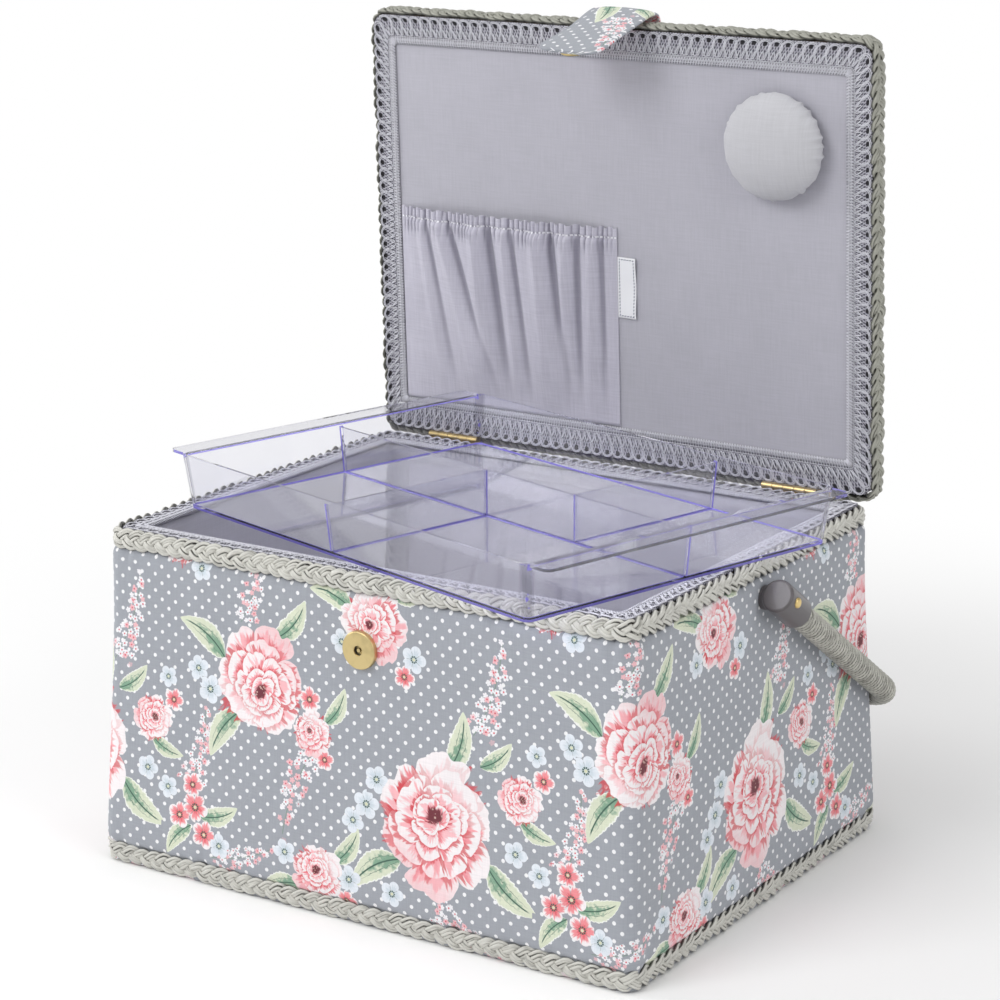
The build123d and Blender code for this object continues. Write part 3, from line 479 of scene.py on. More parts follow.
def motif_place(tree, start):
    """Place on a motif in its own sizes, and the motif's number, which its map holds as whole rooms."""
    x, y, _ = split(tree, start.outputs["Local"])
    return (x + ROOM / 2) % ROOM - ROOM / 2, y, ((x + ROOM / 2) / ROOM).math("FLOOR")


def bloom_group():
    """A full blown flower: rings of petals from the widest to the heart, with a seeded middle."""
    tree, start, end = group("bloom", {"Under": "Color", "Local": "Vector"}, {"Colour": "Color"})
    x, y, kind = motif_place(tree, start)
    local = vector(tree, x, y, kind * 3.1)
    drift = noise(tree, local, 1.7) - 0.5
    sway = noise(tree, vector(tree, y, x, kind * 5.3 + 9.0), 1.7) - 0.5
    x, y = x + drift * 0.28, y + sway * 0.28
    reach = reach_of(x, y) + 0.02
    streak = noise(tree, vector(tree, x / reach * 9.0, y / reach * 9.0, reach * 2.5 + kind), 1.0, 3.0) - 0.5
    colour, inside = start.outputs["Under"], None
    rings = [
        (1.00, 6, 0.10, 0.00, 0.00), (0.80, 5, 0.55, 0.05, 0.05), (0.60, 6, 0.20, -0.04, 0.10),
        (0.42, 4, 0.80, 0.03, 0.13), (0.27, 3, 0.35, -0.02, 0.15),
    ]
    for k, (size, petals, twist, dx, dy) in enumerate(rings):
        ring = placed(
            tree, PETALS, Under=colour, X=x - dx, Y=y - dy, Size=size, Petals=float(petals),
            Twist=kind * 0.29 + twist, Streak=streak, Shadow=0.0 if k == 0 else 0.8,
        )
        colour = ring.outputs["Colour"]
        inside = inside or Num(tree, ring.outputs["Inside"])
    side = (x * 0.8 + y * 0.6 + streak * 0.6) * inside
    colour = mixed(tree, side.rise(0.15, 0.9) * 0.75, colour, CREAM)
    colour = mixed(tree, (side * -1.0).rise(0.2, 0.9) * 0.45, colour, PINK)
    heart = reach_of(x, y - 0.15)
    seed = cells(tree, local, 17.0)
    colour = mixed(tree, (heart - streak * 0.12).fall(0.10, 0.15), colour, DEEP)
    colour = mixed(tree, seed.fall(0.22, 0.36) * heart.fall(0.11, 0.15), colour, srgb(205, 170, 160))
    give_out(tree, end, Colour=colour)
    return tree


def leaf_group():
    """A leaf: half its width is 0.44 times (1 less length squared) to the power 0.75, bent to one side, with
    a toothed edge. Green lies along the midrib, fine veins run from foot to tip and the margin is pale."""
    tree, start, end = group("leaf", {"Under": "Color", "Local": "Vector"}, {"Colour": "Color"})
    x, y, kind = motif_place(tree, start)
    y = y - (x * x) * 0.2
    ruffle = noise(tree, vector(tree, x * 3.0, y * 3.0, kind), 2.0, 2.0) - 0.5
    width = ((x * x).flip().math("MAXIMUM", 0.0) ** 0.75) * (x * -0.3 + 1.0) * 0.44
    side = abs(y) / (width + 0.001)
    t = side + ruffle * 0.30 + abs((x * 6.0 + ruffle * 2.0) % 1.0 - 0.5) * 0.14
    core = (side + x * 0.6 + ruffle * 1.8).fall(-0.1, 0.5)
    green = mixed(tree, core, srgb(222, 228, 204), srgb(130, 168, 142))
    veins = abs((side * 2.6 + ruffle * 0.9) % 1.0 - 0.5).rise(0.40, 0.48)
    veins = veins * x.fall(0.2, 0.8) * t.fall(0.6, 0.8)
    green = mixed(tree, veins * (ruffle + 0.55).rise(0.3, 0.5) * 0.75, green, srgb(74, 112, 94))
    green = mixed(tree, t.rise(0.84, 0.93), green, srgb(244, 246, 240))
    green = mixed(tree, abs(y).fall(0.014, 0.03) * x.fall(0.6, 0.8), green, srgb(58, 96, 80))
    give_out(tree, end, Colour=mixed(tree, t.fall(0.97, 1.0), start.outputs["Under"], green))
    return tree


def blossom_group():
    """A small flower of five round petals round a ring of green dots: pale blue, or coral with pale rims."""
    tree, start, end = group("blossom", {"Under": "Color", "Local": "Vector"}, {"Colour": "Color"})
    x, y, kind = motif_place(tree, start)
    reach = reach_of(x, y)
    around = y.math("ARCTAN2", x) / TURN * 5.0
    lobe = abs((around * (TURN / 2)).math("COSINE"))
    streak = noise(tree, vector(tree, x / (reach + 0.02) * 6.0, y / (reach + 0.02) * 6.0, kind), 1.0) - 0.5
    t = reach / (lobe ** 0.6 * 0.36 + 0.64)
    coral = kind % 2.0
    petal = mixed(tree, coral, srgb(232, 238, 246), srgb(243, 146, 152))
    petal = mixed(tree, (t + streak * 1.2).rise(0.62, 0.88) * coral, petal, CREAM)
    petal = mixed(tree, (t - streak * 1.1).fall(0.32, 0.50) * coral * 0.9, petal, ROSE)
    petal = mixed(tree, (t - streak * 1.2).fall(0.35, 0.75) * coral.flip() * 0.5, petal, srgb(186, 204, 214))
    petal = mixed(tree, lobe.fall(0.08, 0.18) * t.fall(0.75, 0.85) * 0.55, petal, srgb(110, 128, 128))
    dots = abs((around * (TURN * 0.9)).math("COSINE")).rise(0.3, 0.5)
    petal = mixed(tree, dots * abs(reach - 0.20).fall(0.05, 0.08), petal, srgb(52, 88, 74))
    petal = mixed(tree, reach.fall(0.09, 0.13), petal, srgb(222, 224, 190))
    give_out(tree, end, Colour=mixed(tree, t.fall(0.97, 1.0), start.outputs["Under"], petal))
    return tree


def spray_group():
    """A sprig: small five petalled florets scattered inside a tapering outline round a thin stem."""
    tree, start, end = group("spray", {"Under": "Color", "Local": "Vector"}, {"Colour": "Color"})
    x, y, kind = motif_place(tree, start)
    shift = kind * 3.7
    y = y - (x * x) * 0.14
    node = tree.nodes.new("ShaderNodeTexVoronoi")
    node.voronoi_dimensions = "2D"
    node.inputs["Scale"].default_value = 8.0
    node.inputs["Randomness"].default_value = 0.9
    plug(tree, node.inputs["Vector"], vector(tree, x + shift, y))
    red, green, _ = split(tree, node.outputs["Color"])
    cx, cy, _ = split(tree, node.outputs["Position"])
    cx = cx - shift
    dx, dy = x - cx, y - cy
    reach = reach_of(dx, dy)
    lobe = abs((dy.math("ARCTAN2", dx) * 2.5 + red * 9.0).math("COSINE"))
    t = reach / ((lobe ** 0.6 * 0.5 + 0.5) * (green * 0.022 + 0.052))
    kept = (abs(cy) - (cx * -0.17 + 0.20)).fall(-0.005, 0.005) * abs(cx).fall(0.90, 0.92)
    stem = abs(y).fall(0.006, 0.015) * abs(x + 0.1).fall(0.85, 0.9)
    petal = mixed(tree, red.rise(0.62, 0.64), srgb(246, 244, 248), srgb(244, 192, 198))
    petal = mixed(tree, t.fall(0.20, 0.36) * green.rise(0.4, 0.42), petal, srgb(214, 84, 98))
    petal = mixed(tree, lobe.fall(0.1, 0.3) * t.rise(0.4, 0.5) * 0.35, petal, srgb(150, 160, 166))
    colour = mixed(tree, stem * 0.8, start.outputs["Under"], srgb(128, 150, 132))
    give_out(tree, end, Colour=mixed(tree, t.fall(0.95, 1.05) * kept, colour, petal))
    return tree


BLOOM, LEAF, BLOSSOM, SPRAY = bloom_group(), leaf_group(), blossom_group(), spray_group()

# The print's own layout in one tile: x, y, size in millimetres, turn in degrees, kind
FLOWERS = {
    "bloom": [
        (50, 62, 38, 20, 0), (-60, 118, 31, 200, 1), (12, 160, 21, 90, 2), (98, 86, 14, 300, 3),
        (-26, 96, 13, 40, 4), (-22, 22, 17, 0, 5), (-112, 186, 15, 150, 6),
    ],
    "leaf": [
        (12, 34, 18, 215, 0), (92, 36, 18, -35, 1), (64, 108, 16, 75, 2), (86, 104, 12, 40, 3),
        (-96, 138, 17, 150, 4), (-84, 88, 17, 235, 5), (-38, 152, 15, 50, 6), (-10, 112, 12, 60, 7),
        (36, 180, 14, 30, 8), (-14, 172, 14, 165, 9), (-46, 12, 14, 200, 10), (-2, 40, 13, 55, 11),
        (-84, 40, 13, 20, 12), (-112, 24, 12, 230, 13), (-92, 190, 13, 10, 14), (108, 70, 11, -20, 15),
    ],
    "blossom": [
        (8, 66, 8, 10, 0), (0, 56, 7, 50, 0), (14, 80, 7.5, 70, 0), (96, 58, 7, 0, 0),
        (-92, 108, 8, 0, 0), (-100, 118, 7, 30, 0), (-28, 114, 7, 20, 1), (-18, 84, 6, 15, 1),
        (-100, 42, 8.5, 60, 1), (-94, 28, 8, 0, 1), (-110, 36, 7.5, 10, 1), (-102, 54, 7, 0, 1),
        (-84, 24, 7, 20, 0), (-118, 50, 6.5, 45, 0), (36, 146, 7.5, 0, 0), (-8, 148, 7, 30, 0),
        (30, 136, 6.5, 0, 1), (-2, 24, 7.5, 20, 0), (-42, 30, 7, 40, 0), (-4, 12, 6.5, 0, 1),
        (-98, 172, 7, 30, 0), (112, 98, 6.5, 0, 1), (108, 110, 6, 50, 0), (24, 22, 7, 0, 0),
    ],
    "spray": [
        (84, 140, 30, 72, 0), (-38, 62, 30, 250, 1), (-62, 172, 27, 75, 2), (-96, 78, 26, 80, 3),
        (70, 8, 26, -25, 4), (-66, 22, 24, 20, 5), (58, 186, 22, 10, 6),
    ],
}


def print_maps(base):
    """Maps of the print for quads whose corners lie at base (quad, 4, 2) in millimetres: each quad takes
    its place relative to the nearest motif of each sort, divided by the motif's size."""
    middle = base.mean(1)
    low, high = middle.min(0) - 60, middle.max(0) + 60
    shifts = np.array([
        (i * TILE_X, j * TILE_Y)
        for i in range(int((low[0] - TILE_X) // TILE_X), int(high[0] // TILE_X) + 2)
        for j in range(int((low[1] - TILE_Y) // TILE_Y), int(high[1] // TILE_Y) + 2)
    ])
    made = {"cloth": base / DOT_PITCH}
    for sort, motifs in FLOWERS.items():
        rows = np.array(motifs, float)
        x = (rows[:, 0][None] + shifts[:, 0][:, None]).ravel()
        y = (rows[:, 1][None] + shifts[:, 1][:, None]).ravel()
        near = (x > low[0]) & (x < high[0]) & (y > low[1]) & (y < high[1])
        x, y = x[near], y[near]
        size, turn, kind = (np.tile(rows[:, k], len(shifts))[near] for k in (2, 3, 4))
        gap = ((middle[:, :1] - x) ** 2 + (middle[:, 1:] - y) ** 2) / size ** 2
        best = gap.argmin(1)
        a = np.radians(turn[best])[:, None]
        dx, dy = base[..., 0] - x[best][:, None], base[..., 1] - y[best][:, None]
        u = (dx * np.cos(a) + dy * np.sin(a)) / size[best][:, None]
        v = (dy * np.cos(a) - dx * np.sin(a)) / size[best][:, None]
        far = (np.abs(np.stack([u, v])).max(0) > ROOM_END).any(1, keepdims=True)
        u, v = np.where(far, ROOM_END, u), np.where(far, ROOM_END, v)
        made[sort] = np.stack([u + ROOM * kind[best][:, None], v], -1)
    return made


# Materials


WEAVE_DEPTH = 0.00008


def woven(tree, place, threads, patches=0.03, share=0.6):
    """Height of a plain weave, and its shade: slubs of the threads plus wide patches of the dye."""
    weave = placed(tree, WEAVE, Place=place, Threads=threads)
    shade = Num(tree, weave.outputs["Shade"]) + (noise(tree, place, patches) - 0.5) * share
    return weave.outputs["Height"], shade


def printed_cotton():
    """Grey cotton with white dots in a staggered lattice and the flowers printed over them."""
    made, tree, shader = material("printed_cotton", Roughness=0.82, Sheen_Weight=0.15, Sheen_Roughness=0.5)
    place = own_map(tree, "cloth")
    x, y, _ = split(tree, place)
    gaps = [reach_of((x + shift) % 1.0 - 0.5, (y + shift) % 1.0 - 0.5) for shift in (0.0, 0.5)]
    gap = gaps[0].math("MINIMUM", gaps[1])
    dot = (gap + (noise(tree, place, 3.0) - 0.5) * 0.03).fall(0.108, 0.128)
    colour = mixed(tree, dot, srgb(161, 165, 173), srgb(246, 246, 248))
    for shared, sort in ((SPRAY, "spray"), (LEAF, "leaf"), (BLOSSOM, "blossom"), (BLOOM, "bloom")):
        colour = placed(tree, shared, Under=colour, Local=own_map(tree, sort)).outputs["Colour"]
    height, shade = woven(tree, place, 18.0, 0.35, 0.5)
    dark = mixed(tree, 0.16, colour, srgb(70, 70, 78))
    dress(tree, shader, mixed(tree, shade.rise(-0.6, 0.6), dark, colour), height, WEAVE_DEPTH)
    return made


def lining_cotton(name, colour, threads=1.9):
    """Plain woven cotton in one colour, with slubs and a soft unevenness of the dye."""
    made, tree, shader = material(name, Roughness=0.85, Sheen_Weight=0.2, Sheen_Roughness=0.5)
    height, shade = woven(tree, own_map(tree, "cloth"), threads)
    dress(tree, shader, mixed(tree, shade.rise(-0.7, 0.7), shaded(colour, 0.86), colour), height, WEAVE_DEPTH)
    return made


def strand_finish(name, colour, dark, count, gloss, depth, gap):
    """Strands of fine fibres: pale and dark lines along the strand, and relief from the same lines. Painted
    shade darkens the part of a strand that faces sideways or down, against the next, by the gap."""
    made, tree, shader = material(name, Roughness=gloss, Specular_IOR_Level=0.55)
    place = own_map(tree, "strand")
    fibres = placed(tree, FIBRES, Strand=place, Count=count)
    shade = Num(tree, fibres.outputs["Shade"])
    base = mixed(tree, shade.rise(-0.35, 0.0), dark, colour)
    base = mixed(tree, shade.rise(0.08, 0.35), base, shaded(colour, 1.25))
    _, around, _ = split(tree, place)
    # Painted shade on the sides and underside of each strand, where it lies against the next
    facing = (around * TURN).math("SINE")
    base = mixed(tree, facing.fall(-0.1, 0.65) * gap, base, shaded(dark, 0.4))
    dress(tree, shader, base, fibres.outputs["Height"], depth)
    return made


def metal(name, colour, roughness):
    """Metal with fine scratches and a little tarnish."""
    made, tree, shader = material(name, Metallic=1.0)
    place = object_place(tree)
    rub = noise(tree, place, 900.0, 4.0)
    stain = noise(tree, place, 120.0)
    plug(tree, shader.inputs["Roughness"], rub * 0.2 + (roughness - 0.1))
    dress(tree, shader, mixed(tree, stain.rise(0.35, 0.65), shaded(colour, 0.8), colour), rub, 0.00002)
    return made


def plain(name, colour, roughness, scale, depth=0.00005, mottle=0.12, **more):
    """A plain stuff with mottled colour, uneven roughness and fine relief at one scale."""
    made, tree, shader = material(name, **more)
    grain = noise(tree, object_place(tree), scale, 4.0)
    plug(tree, shader.inputs["Roughness"], grain * 0.2 + (roughness - 0.1))
    dress(tree, shader, mixed(tree, grain.rise(0.3, 0.7), shaded(colour, 1 - mottle), colour), grain, depth)
    return made


COTTON = printed_cotton()
LINING = lining_cotton("lining_cotton", srgb(183, 182, 192))
UNDERSIDE = lining_cotton("underside_cloth", srgb(112, 114, 122))
# The last number of each strand finish is the strength of its painted shade between strands
BRAID = strand_finish("braid_strands", srgb(200, 199, 192), srgb(88, 87, 80), 5.0, 0.42, 0.00012, 0.85)
ROPE = strand_finish("rope_strands", srgb(158, 158, 148), srgb(84, 84, 76), 5.0, 0.45, 0.00012, 0.8)
GIMP = strand_finish("gimp_thread", srgb(208, 208, 216), srgb(138, 137, 147), 4.0, 0.62, 0.00006, 0.75)
BRASS = metal("brass", srgb(222, 196, 134), 0.3)
SATIN_BRASS = metal("satin_brass", srgb(214, 194, 142), 0.42)
STEEL = metal("steel", srgb(176, 176, 178), 0.35)
MAGNET = plain("magnet", srgb(60, 58, 58), 0.5, 600.0)
CARD = plain("card", srgb(168, 158, 140), 0.8, 400.0)
BOARD = plain("board", srgb(150, 132, 108), 0.75, 250.0)
WIRE = plain("core", srgb(120, 118, 110), 0.5, 300.0)
PLASTIC = plain("cap_plastic", srgb(84, 80, 82), 0.34, 180.0, 0.00003, 0.08, Coat_Weight=0.25)
CUSHION = lining_cotton("cushion_cloth", srgb(194, 194, 199))
ELASTIC = lining_cotton("elastic", srgb(186, 185, 196), 3.0)


def clear_plastic(name, clearness, tint, rough):
    """Clear moulded plastic with a violet cast where light gathers in its edges; light that only passes
    through it on its way from a lamp is let through, so its shadows stay pale."""
    made, tree, shader = material(
        name, Transmission_Weight=clearness, IOR=1.1, Roughness=rough, Coat_Weight=0.7, Coat_Roughness=0.03,
    )
    amount, _, _ = split(tree, own_map(tree, "edge"))
    haze = noise(tree, object_place(tree), 30.0)
    clear = mixed(tree, haze, srgb(238, 238, 243), srgb(244, 244, 248))
    plug(tree, shader.inputs["Base Color"], mixed(tree, amount, clear, tint))
    through = tree.nodes.new("ShaderNodeBsdfTransparent")
    through.inputs["Color"].default_value = (0.92, 0.92, 0.95, 1.0)
    blend_shaders(tree, seen_by(tree, "Shadow"), shader, through)
    return made


CLEAR = clear_plastic("clear_plastic", 0.985, srgb(92, 90, 118), 0.0)
CLEAR_EDGE = clear_plastic("clear_plastic_edge", 0.4, srgb(136, 128, 220), 0.15)

# Printed covers with their padding


def weld(piece):
    """Merges points that lie together, to close ridges and poles."""
    mesh = bmesh.new()
    mesh.from_mesh(piece.data)
    bmesh.ops.remove_doubles(mesh, verts=mesh.verts, dist=2e-6)
    mesh.to_mesh(piece.data)
    mesh.free()
    return piece


def spread(z, start, amount):
    """How far the foot spreads at a height: the full amount down at the braid, nothing above the start."""
    return amount * np.clip((start - z) / (start - BRAID_TOP), 0, 1)


def cloth_maps(base, finish):
    """A cloth's map from the corner values of its quads, with the print's maps if the cloth is printed."""
    return print_maps(base) if finish is COTTON else {"cloth": base}


def wall_ring(name, rows, length, x, y, finish):
    """A wall round the box: rings at the heights in rows, up one face and down the other. The cloth's map
    is the length round the box and the height."""
    points = np.stack(np.broadcast_arrays(x, y, rows[:, None]), -1)[:, :-1]
    faces = grid_faces(len(rows), len(length) - 1, True, True)
    base = grid_map(length[None], np.append(rows, rows[0])[:, None])
    return make_piece(name, points, faces, "box", finish, cloth_maps(base, finish))


def wall_cover():
    """The walls' cover: a ring whose outer face lies in from the box's outline by a quick and a slow fade
    from each braid, with gathers that fade away from the braids, and whose inner face lies on the boards."""
    stretch, length = ring_stretches(BOX_X, BOX_Y, BOX_CORNER, 560)
    loop = length / length[-1] * TURN
    t = np.linspace(0, 1, 78)
    rise = BRAID_TOP + (BRAID_FOOT - BRAID_TOP) * (t - np.sin(TURN * t) / TURN * 0.8)
    z = np.concatenate([[COVER_FOOT, 6.0, 10.0], rise, [177, WALL_TOP]])
    below, above = np.maximum(z - BRAID_TOP, 0)[:, None], np.maximum(BRAID_FOOT - z, 0)[:, None]
    inset = sum(deep * np.exp(-d / 1.6) + 0.7 * np.exp(-d / 9.0) for d, deep in ((below, 2.2), (above, 3.2)))
    waves = [(41, 0.10), (67, 0.13), (101, 0.15), (149, 0.12)]
    inset = inset + ripple(loop, waves, 3) * np.exp(-above / 10)
    inset = inset + ripple(loop, waves, 4) * np.exp(-below / 10)

    # Small tucks where the cloth is drawn in, by their length round the box: nine from above, nine from below
    tucks = np.array([
        151.5, 160.0, 173.0, 400.0, 417.0, 727.0, 745.0, 974.0, 990.0, 60.0, length[-1] - 95.0,
    ])
    gap = length[None] - tucks[:, None]
    tuck = np.exp(-(gap / 2.6) ** 2) - 0.45 * np.exp(-((np.abs(gap) - 5.5) / 3.0) ** 2)
    inset = inset + 1.7 * tuck[:9].sum(0) * np.exp(-above / 8)
    inset = inset + 1.5 * tuck[2:].sum(0) * np.exp(-below / 8)
    hollow = ripple(loop, [(5, 0.2), (9, 0.2), (14, 0.1)], 5) + 0.25
    inset = np.maximum(inset + hollow * np.sin(z / BOX_HEIGHT * math.pi)[:, None], 0.02)

    # The inner face, of which only the two lowest rows spread with the outer one
    inner = np.array([WALL_TOP, 140.0, 60.0, 6.2, WALL_FOOT, COVER_FOOT])
    inset = np.concatenate([inset, np.full((len(inner), len(length)), 5.93)])
    rows = np.concatenate([z, inner])
    wide, deep = spread(rows, SPREAD_FROM_X, SPREAD_X), spread(rows, SPREAD_FROM_Y, SPREAD_Y)
    wide[-6:-2], deep[-6:-2] = 0, 0
    x, y, _, _ = on_ring(
        stretch[None], BOX_X + wide[:, None] - inset, BOX_Y + deep[:, None] - inset,
        np.maximum(BOX_CORNER - inset, 0.4),
    )
    return wall_ring("wall_cover", rows, length, x, y, COTTON)


def pillow(name, half_x, half_y, radius, middle_y, upper, lower, body, finish, rows=34, count=420):
    """A flat or crowned plate with rounded corners. Rings at each distance from the edge run from the
    middle ridge out over the upper face and back over the lower face. Lid pieces reach a little farther
    at the rear, and are turned open."""
    turned = body == "lid"
    stretch, _ = ring_stretches(half_x, half_y, radius, count)
    t = np.linspace(0, 1, rows)
    inset = half_y * (1 - t) ** 1.8
    x, y, _, _ = on_ring(
        stretch[None, :-1], half_x - inset[:, None], half_y - inset[:, None],
        np.maximum(radius - inset, 0)[:, None],
    )
    y = y + middle_y
    if turned:
        y = y + 1.6 * soft_step(y, 90.0, 124.0)
    top, bottom = (
        np.stack([x, y, np.broadcast_to(face(inset[:, None], x, y), x.shape)], -1)
        for face in (upper, lower)
    )
    points = np.concatenate([top, bottom[::-1]])
    faces = grid_faces(2 * rows, count, True, True)[: (2 * rows - 1) * count]
    flat = points.reshape(-1, 3)[faces][..., :2]
    points = opened(points) if turned else points
    return weld(make_piece(name, points, faces, body, finish, cloth_maps(flat, finish)))


def crown(d, x, y):
    """The lid's top: half of the rise comes quickly from the rope, half slowly, with small gathers."""
    rise = 0.5 * (1 - np.exp(-d / 3.5)) + 0.5 * (1 - np.exp(-d / 13.0))
    gathers = 0.22 * np.sin(x / 2.9 + np.sin(y / 17)) * np.sin(y / 3.7 + np.sin(x / 23)) * np.exp(-d / 8)
    soft = 0.25 * np.sin(x / 31 + 1) * np.sin(y / 27)
    return 197.8 + 5.8 * rise + gathers + soft * (1 - np.exp(-d / 20))


def level(height, waviness=0.0):
    """A flat face at one height, or one with low waves in the cloth."""
    return lambda d, x, y: height + waviness * (
        np.sin(x / 23 + 0.8 * np.sin(y / 31)) * np.sin(y / 19 + 2) + 0.5 * np.sin(x / 9 + y / 37)
    ) * (1 - np.exp(-d / 12)) + 0 * x


walls = wall_cover()
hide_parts("printed_cover", "wall_padding")

lid_top = pillow("lid_top", 159.15, 122.45, 6.0, LID_MIDDLE, crown, level(195.06), "lid", COTTON, 48, 560)
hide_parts("lid_cover", "lid_padding")

lid_lining = pillow(
    "lid_lining_cloth", 159.15, 122.45, 6.0, LID_MIDDLE, level(189.95), level(189.12, 0.1), "lid", LINING,
)
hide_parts("lid_lining")

base_lining = pillow(
    "base_lining_cloth", 146.9, 110.4, 0.5, 0.0, level(7.3, 0.12), level(6.02), "box", LINING,
)
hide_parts("base_lining")

base_cloth = pillow(
    "base_cover_cloth", 163.0, 127.9, 4.4, 0.0, level(0.95), level(0.1), "box", UNDERSIDE,
)
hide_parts("base_cloth")


def wall_lining():
    """The walls' lining: a square cornered ring with faint sags between the corners."""
    half_x, half_y, corner = 147.0, 110.5, 2.0
    stretch, length = ring_stretches(half_x, half_y, corner, 320)
    loop = length / length[-1] * TURN
    z = np.linspace(WALL_FOOT, WALL_TOP, 26)
    waves = ripple(loop, [(11, 0.12), (19, 0.12), (31, 0.08)], 8)[None] + 0.25
    sag = waves * np.sin(z / WALL_TOP * math.pi)[:, None]
    sag = sag * (1 - np.exp(-np.abs(stretch % 2 - 0.5) * 8))[None]
    inset = np.concatenate([np.full((3, len(length)), -1.4), 0.02 + np.maximum(sag, 0)])
    rows = np.concatenate([[WALL_TOP, 90.0, WALL_FOOT], z])
    x, y, _, _ = on_ring(stretch[None], half_x - inset, half_y - inset, corner)
    return wall_ring("wall_lining_cloth", rows, length, x, y, LINING)


lining = wall_lining()
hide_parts("wall_lining")

# Plaited braids and the lid's edge


def plait(
    name, half_x, half_y, radius, middle_y, low, high, lean, thick, periods, seed, body, finish, width,
    rear=0.0,
):
    """A flat plait of three strands round a rounded rectangle, a third of a turn after one another. Each
    strand swings across the plait as the arcsine of 0.96 times a sine, nearly straight there and back, and
    through it as the sine of twice its phase. It is a bundle of three thin cords side by side. The rear
    stretch lies farther out by the rear amount."""
    stretch, length = ring_stretches(half_x, half_y, radius, periods * 18)
    stretch, loop = stretch[:-1], length[:-1] / length[-1] * TURN
    x, y, nx, ny = on_ring(stretch, half_x, half_y, radius)
    zero = np.zeros_like(x)
    low, high = (k(x, y) if callable(k) else k + zero for k in (low, high))
    wander = ripple(loop, [(7, 0.12), (17, 0.10), (29, 0.08)], seed)
    out = np.stack([nx * math.cos(lean), ny * math.cos(lean), zero + math.sin(lean)], -1)
    side = np.stack([-nx * math.sin(lean), -ny * math.sin(lean), zero + math.cos(lean)], -1)
    middle = np.stack([x, y + middle_y + rear * soft_step(y, 80.0, 118.0), (low + high) / 2], -1)
    swing = (high - low) / 2 - width * 0.72
    phase = loop * periods + wander + np.arange(3)[:, None] * TURN / 3
    paths = (
        middle[None] + (swing * np.arcsin(0.96 * np.sin(phase)) / 1.287)[..., None] * side[None]
        + (thick * 0.22 * np.sin(2 * phase))[..., None] * out[None]
    )
    ahead = unit(np.roll(paths, -1, 1) - np.roll(paths, 1, 1))
    beside = unit(np.cross(ahead, np.broadcast_to(out, paths.shape)))
    cords = []
    for k in (-1, 0, 1):
        stray = [(periods // 3, 0.10), (periods // 2 + 5, 0.10), (periods + 9, 0.08)]
        off = width * (0.60 * k + ripple(loop, stray, seed + 7 * k + 20))
        bob = ripple(loop, [(periods // 2, 0.6), (periods - 7, 0.6)], seed + k)
        rise = thick * (0.05 * (k == 0) + 0.10 * bob)
        cords.append(paths + off[None, :, None] * beside + rise[None, :, None] * out[None])
    paths = np.concatenate(cords)
    plump = 1 + 0.12 * np.sin(loop * periods * 0.77 + np.arange(9)[:, None] * 1.9)
    up = np.broadcast_to(out, paths.shape)
    points, faces, maps = strand_tubes(paths, up, width * 0.40 * plump, thick * 0.22)
    return make_piece(name, opened(points) if body == "lid" else points, faces, body, finish, maps)


def near_hinge(x, y):
    """1 where the rear edge passes a hinge, 0 elsewhere."""
    return (1 - soft_step(np.abs(np.abs(x) - HINGE_X), 19.0, 24.0)) * (y > 100)


top_braid = plait(
    "top_braid_plait", 160.1, 123.6, 7.0, 0.0, 175.2, lambda x, y: 185.3 - 3.4 * near_hinge(x, y),
    math.radians(12), 4.9, 51, 11, "box", BRAID, 2.5,
)
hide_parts("top_braid")
bottom_braid = plait(
    "bottom_braid_plait", 165.1, 130.0, 6.5, 0.0, 0.9, 11.4, math.radians(-8), 4.6, 51, 12, "box", BRAID, 2.6,
)
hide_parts("bottom_braid")
edge_rope = plait(
    "lid_edge_plait", 161.2, 124.5, 8.0, LID_MIDDLE, lambda x, y: 188.0 + 2.0 * near_hinge(x, y), 200.7,
    0.0, 4.4, 60, 13, "lid", ROPE, 2.7, 2.2,
)
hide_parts("lid_rope")

# Crochet gimp: cords that loop, weave and climb like a ladder, on a thin backing
SCALLOP, RIM_SCALLOPS, LID_SCALLOPS = 6.8, 157, 156


def gimp(name, periods, width, on_band, body):
    """A band of cords. Each cord is a curve in (along, across, height): the scroll is a circle carried
    along, doubled side by side; the weave is a cosine; the ladder is a sine at four to a scallop with its
    crests made flat by a hyperbolic tangent; the rails run straight."""
    def cord(steps, along, across, height):
        t = np.arange(periods * steps) / steps
        return on_band(t + along(t * TURN) / SCALLOP, across(t * TURN), height(t * TURN))

    scroll = [cord(
        16, lambda a: (1.7 + gap) * np.sin(a), lambda a: width * 0.74 + (width * 0.15 + gap) * np.cos(a),
        lambda a: 0.75 + 0.35 * np.cos(2 * a + 0.6) - 0.1 * gap,
    ) for gap in (-0.2, 0.55)]
    weave = [cord(
        10, lambda a: shift + 0 * a, lambda a: width * 0.45 + width * 0.13 * np.cos(a * turns + shift * 2),
        lambda a: 0.65 + 0.25 * np.sin(2 * a + shift),
    ) for shift, turns in ((0.0, 2), (1.5, 2), (3.0, 1))]
    ladder = [cord(
        24, lambda a: 0 * a, lambda a: width * 0.14 + width * 0.13 * np.tanh(2.2 * np.sin(4 * a)),
        lambda a: 0.6 + 0.2 * np.cos(4 * a),
    )]
    rails = [
        cord(4, lambda a: 0 * a, lambda a, w=w: w + 0 * a, lambda a: 0.5 + 0 * a)
        for w in (width * 0.09, width * 0.19, width * 0.29)
    ]
    built = []
    for cords, size in ((scroll, 0.31), (weave, 0.36), (ladder, 0.34), (rails, 0.30)):
        paths, ups = (np.stack([c[k] for c in cords]) for k in (0, 1))
        built.append(strand_tubes(paths, ups, size, size * 0.9, 4))
    points, faces, maps = joined(built)
    return make_piece(name, points, faces, body, GIMP, maps)


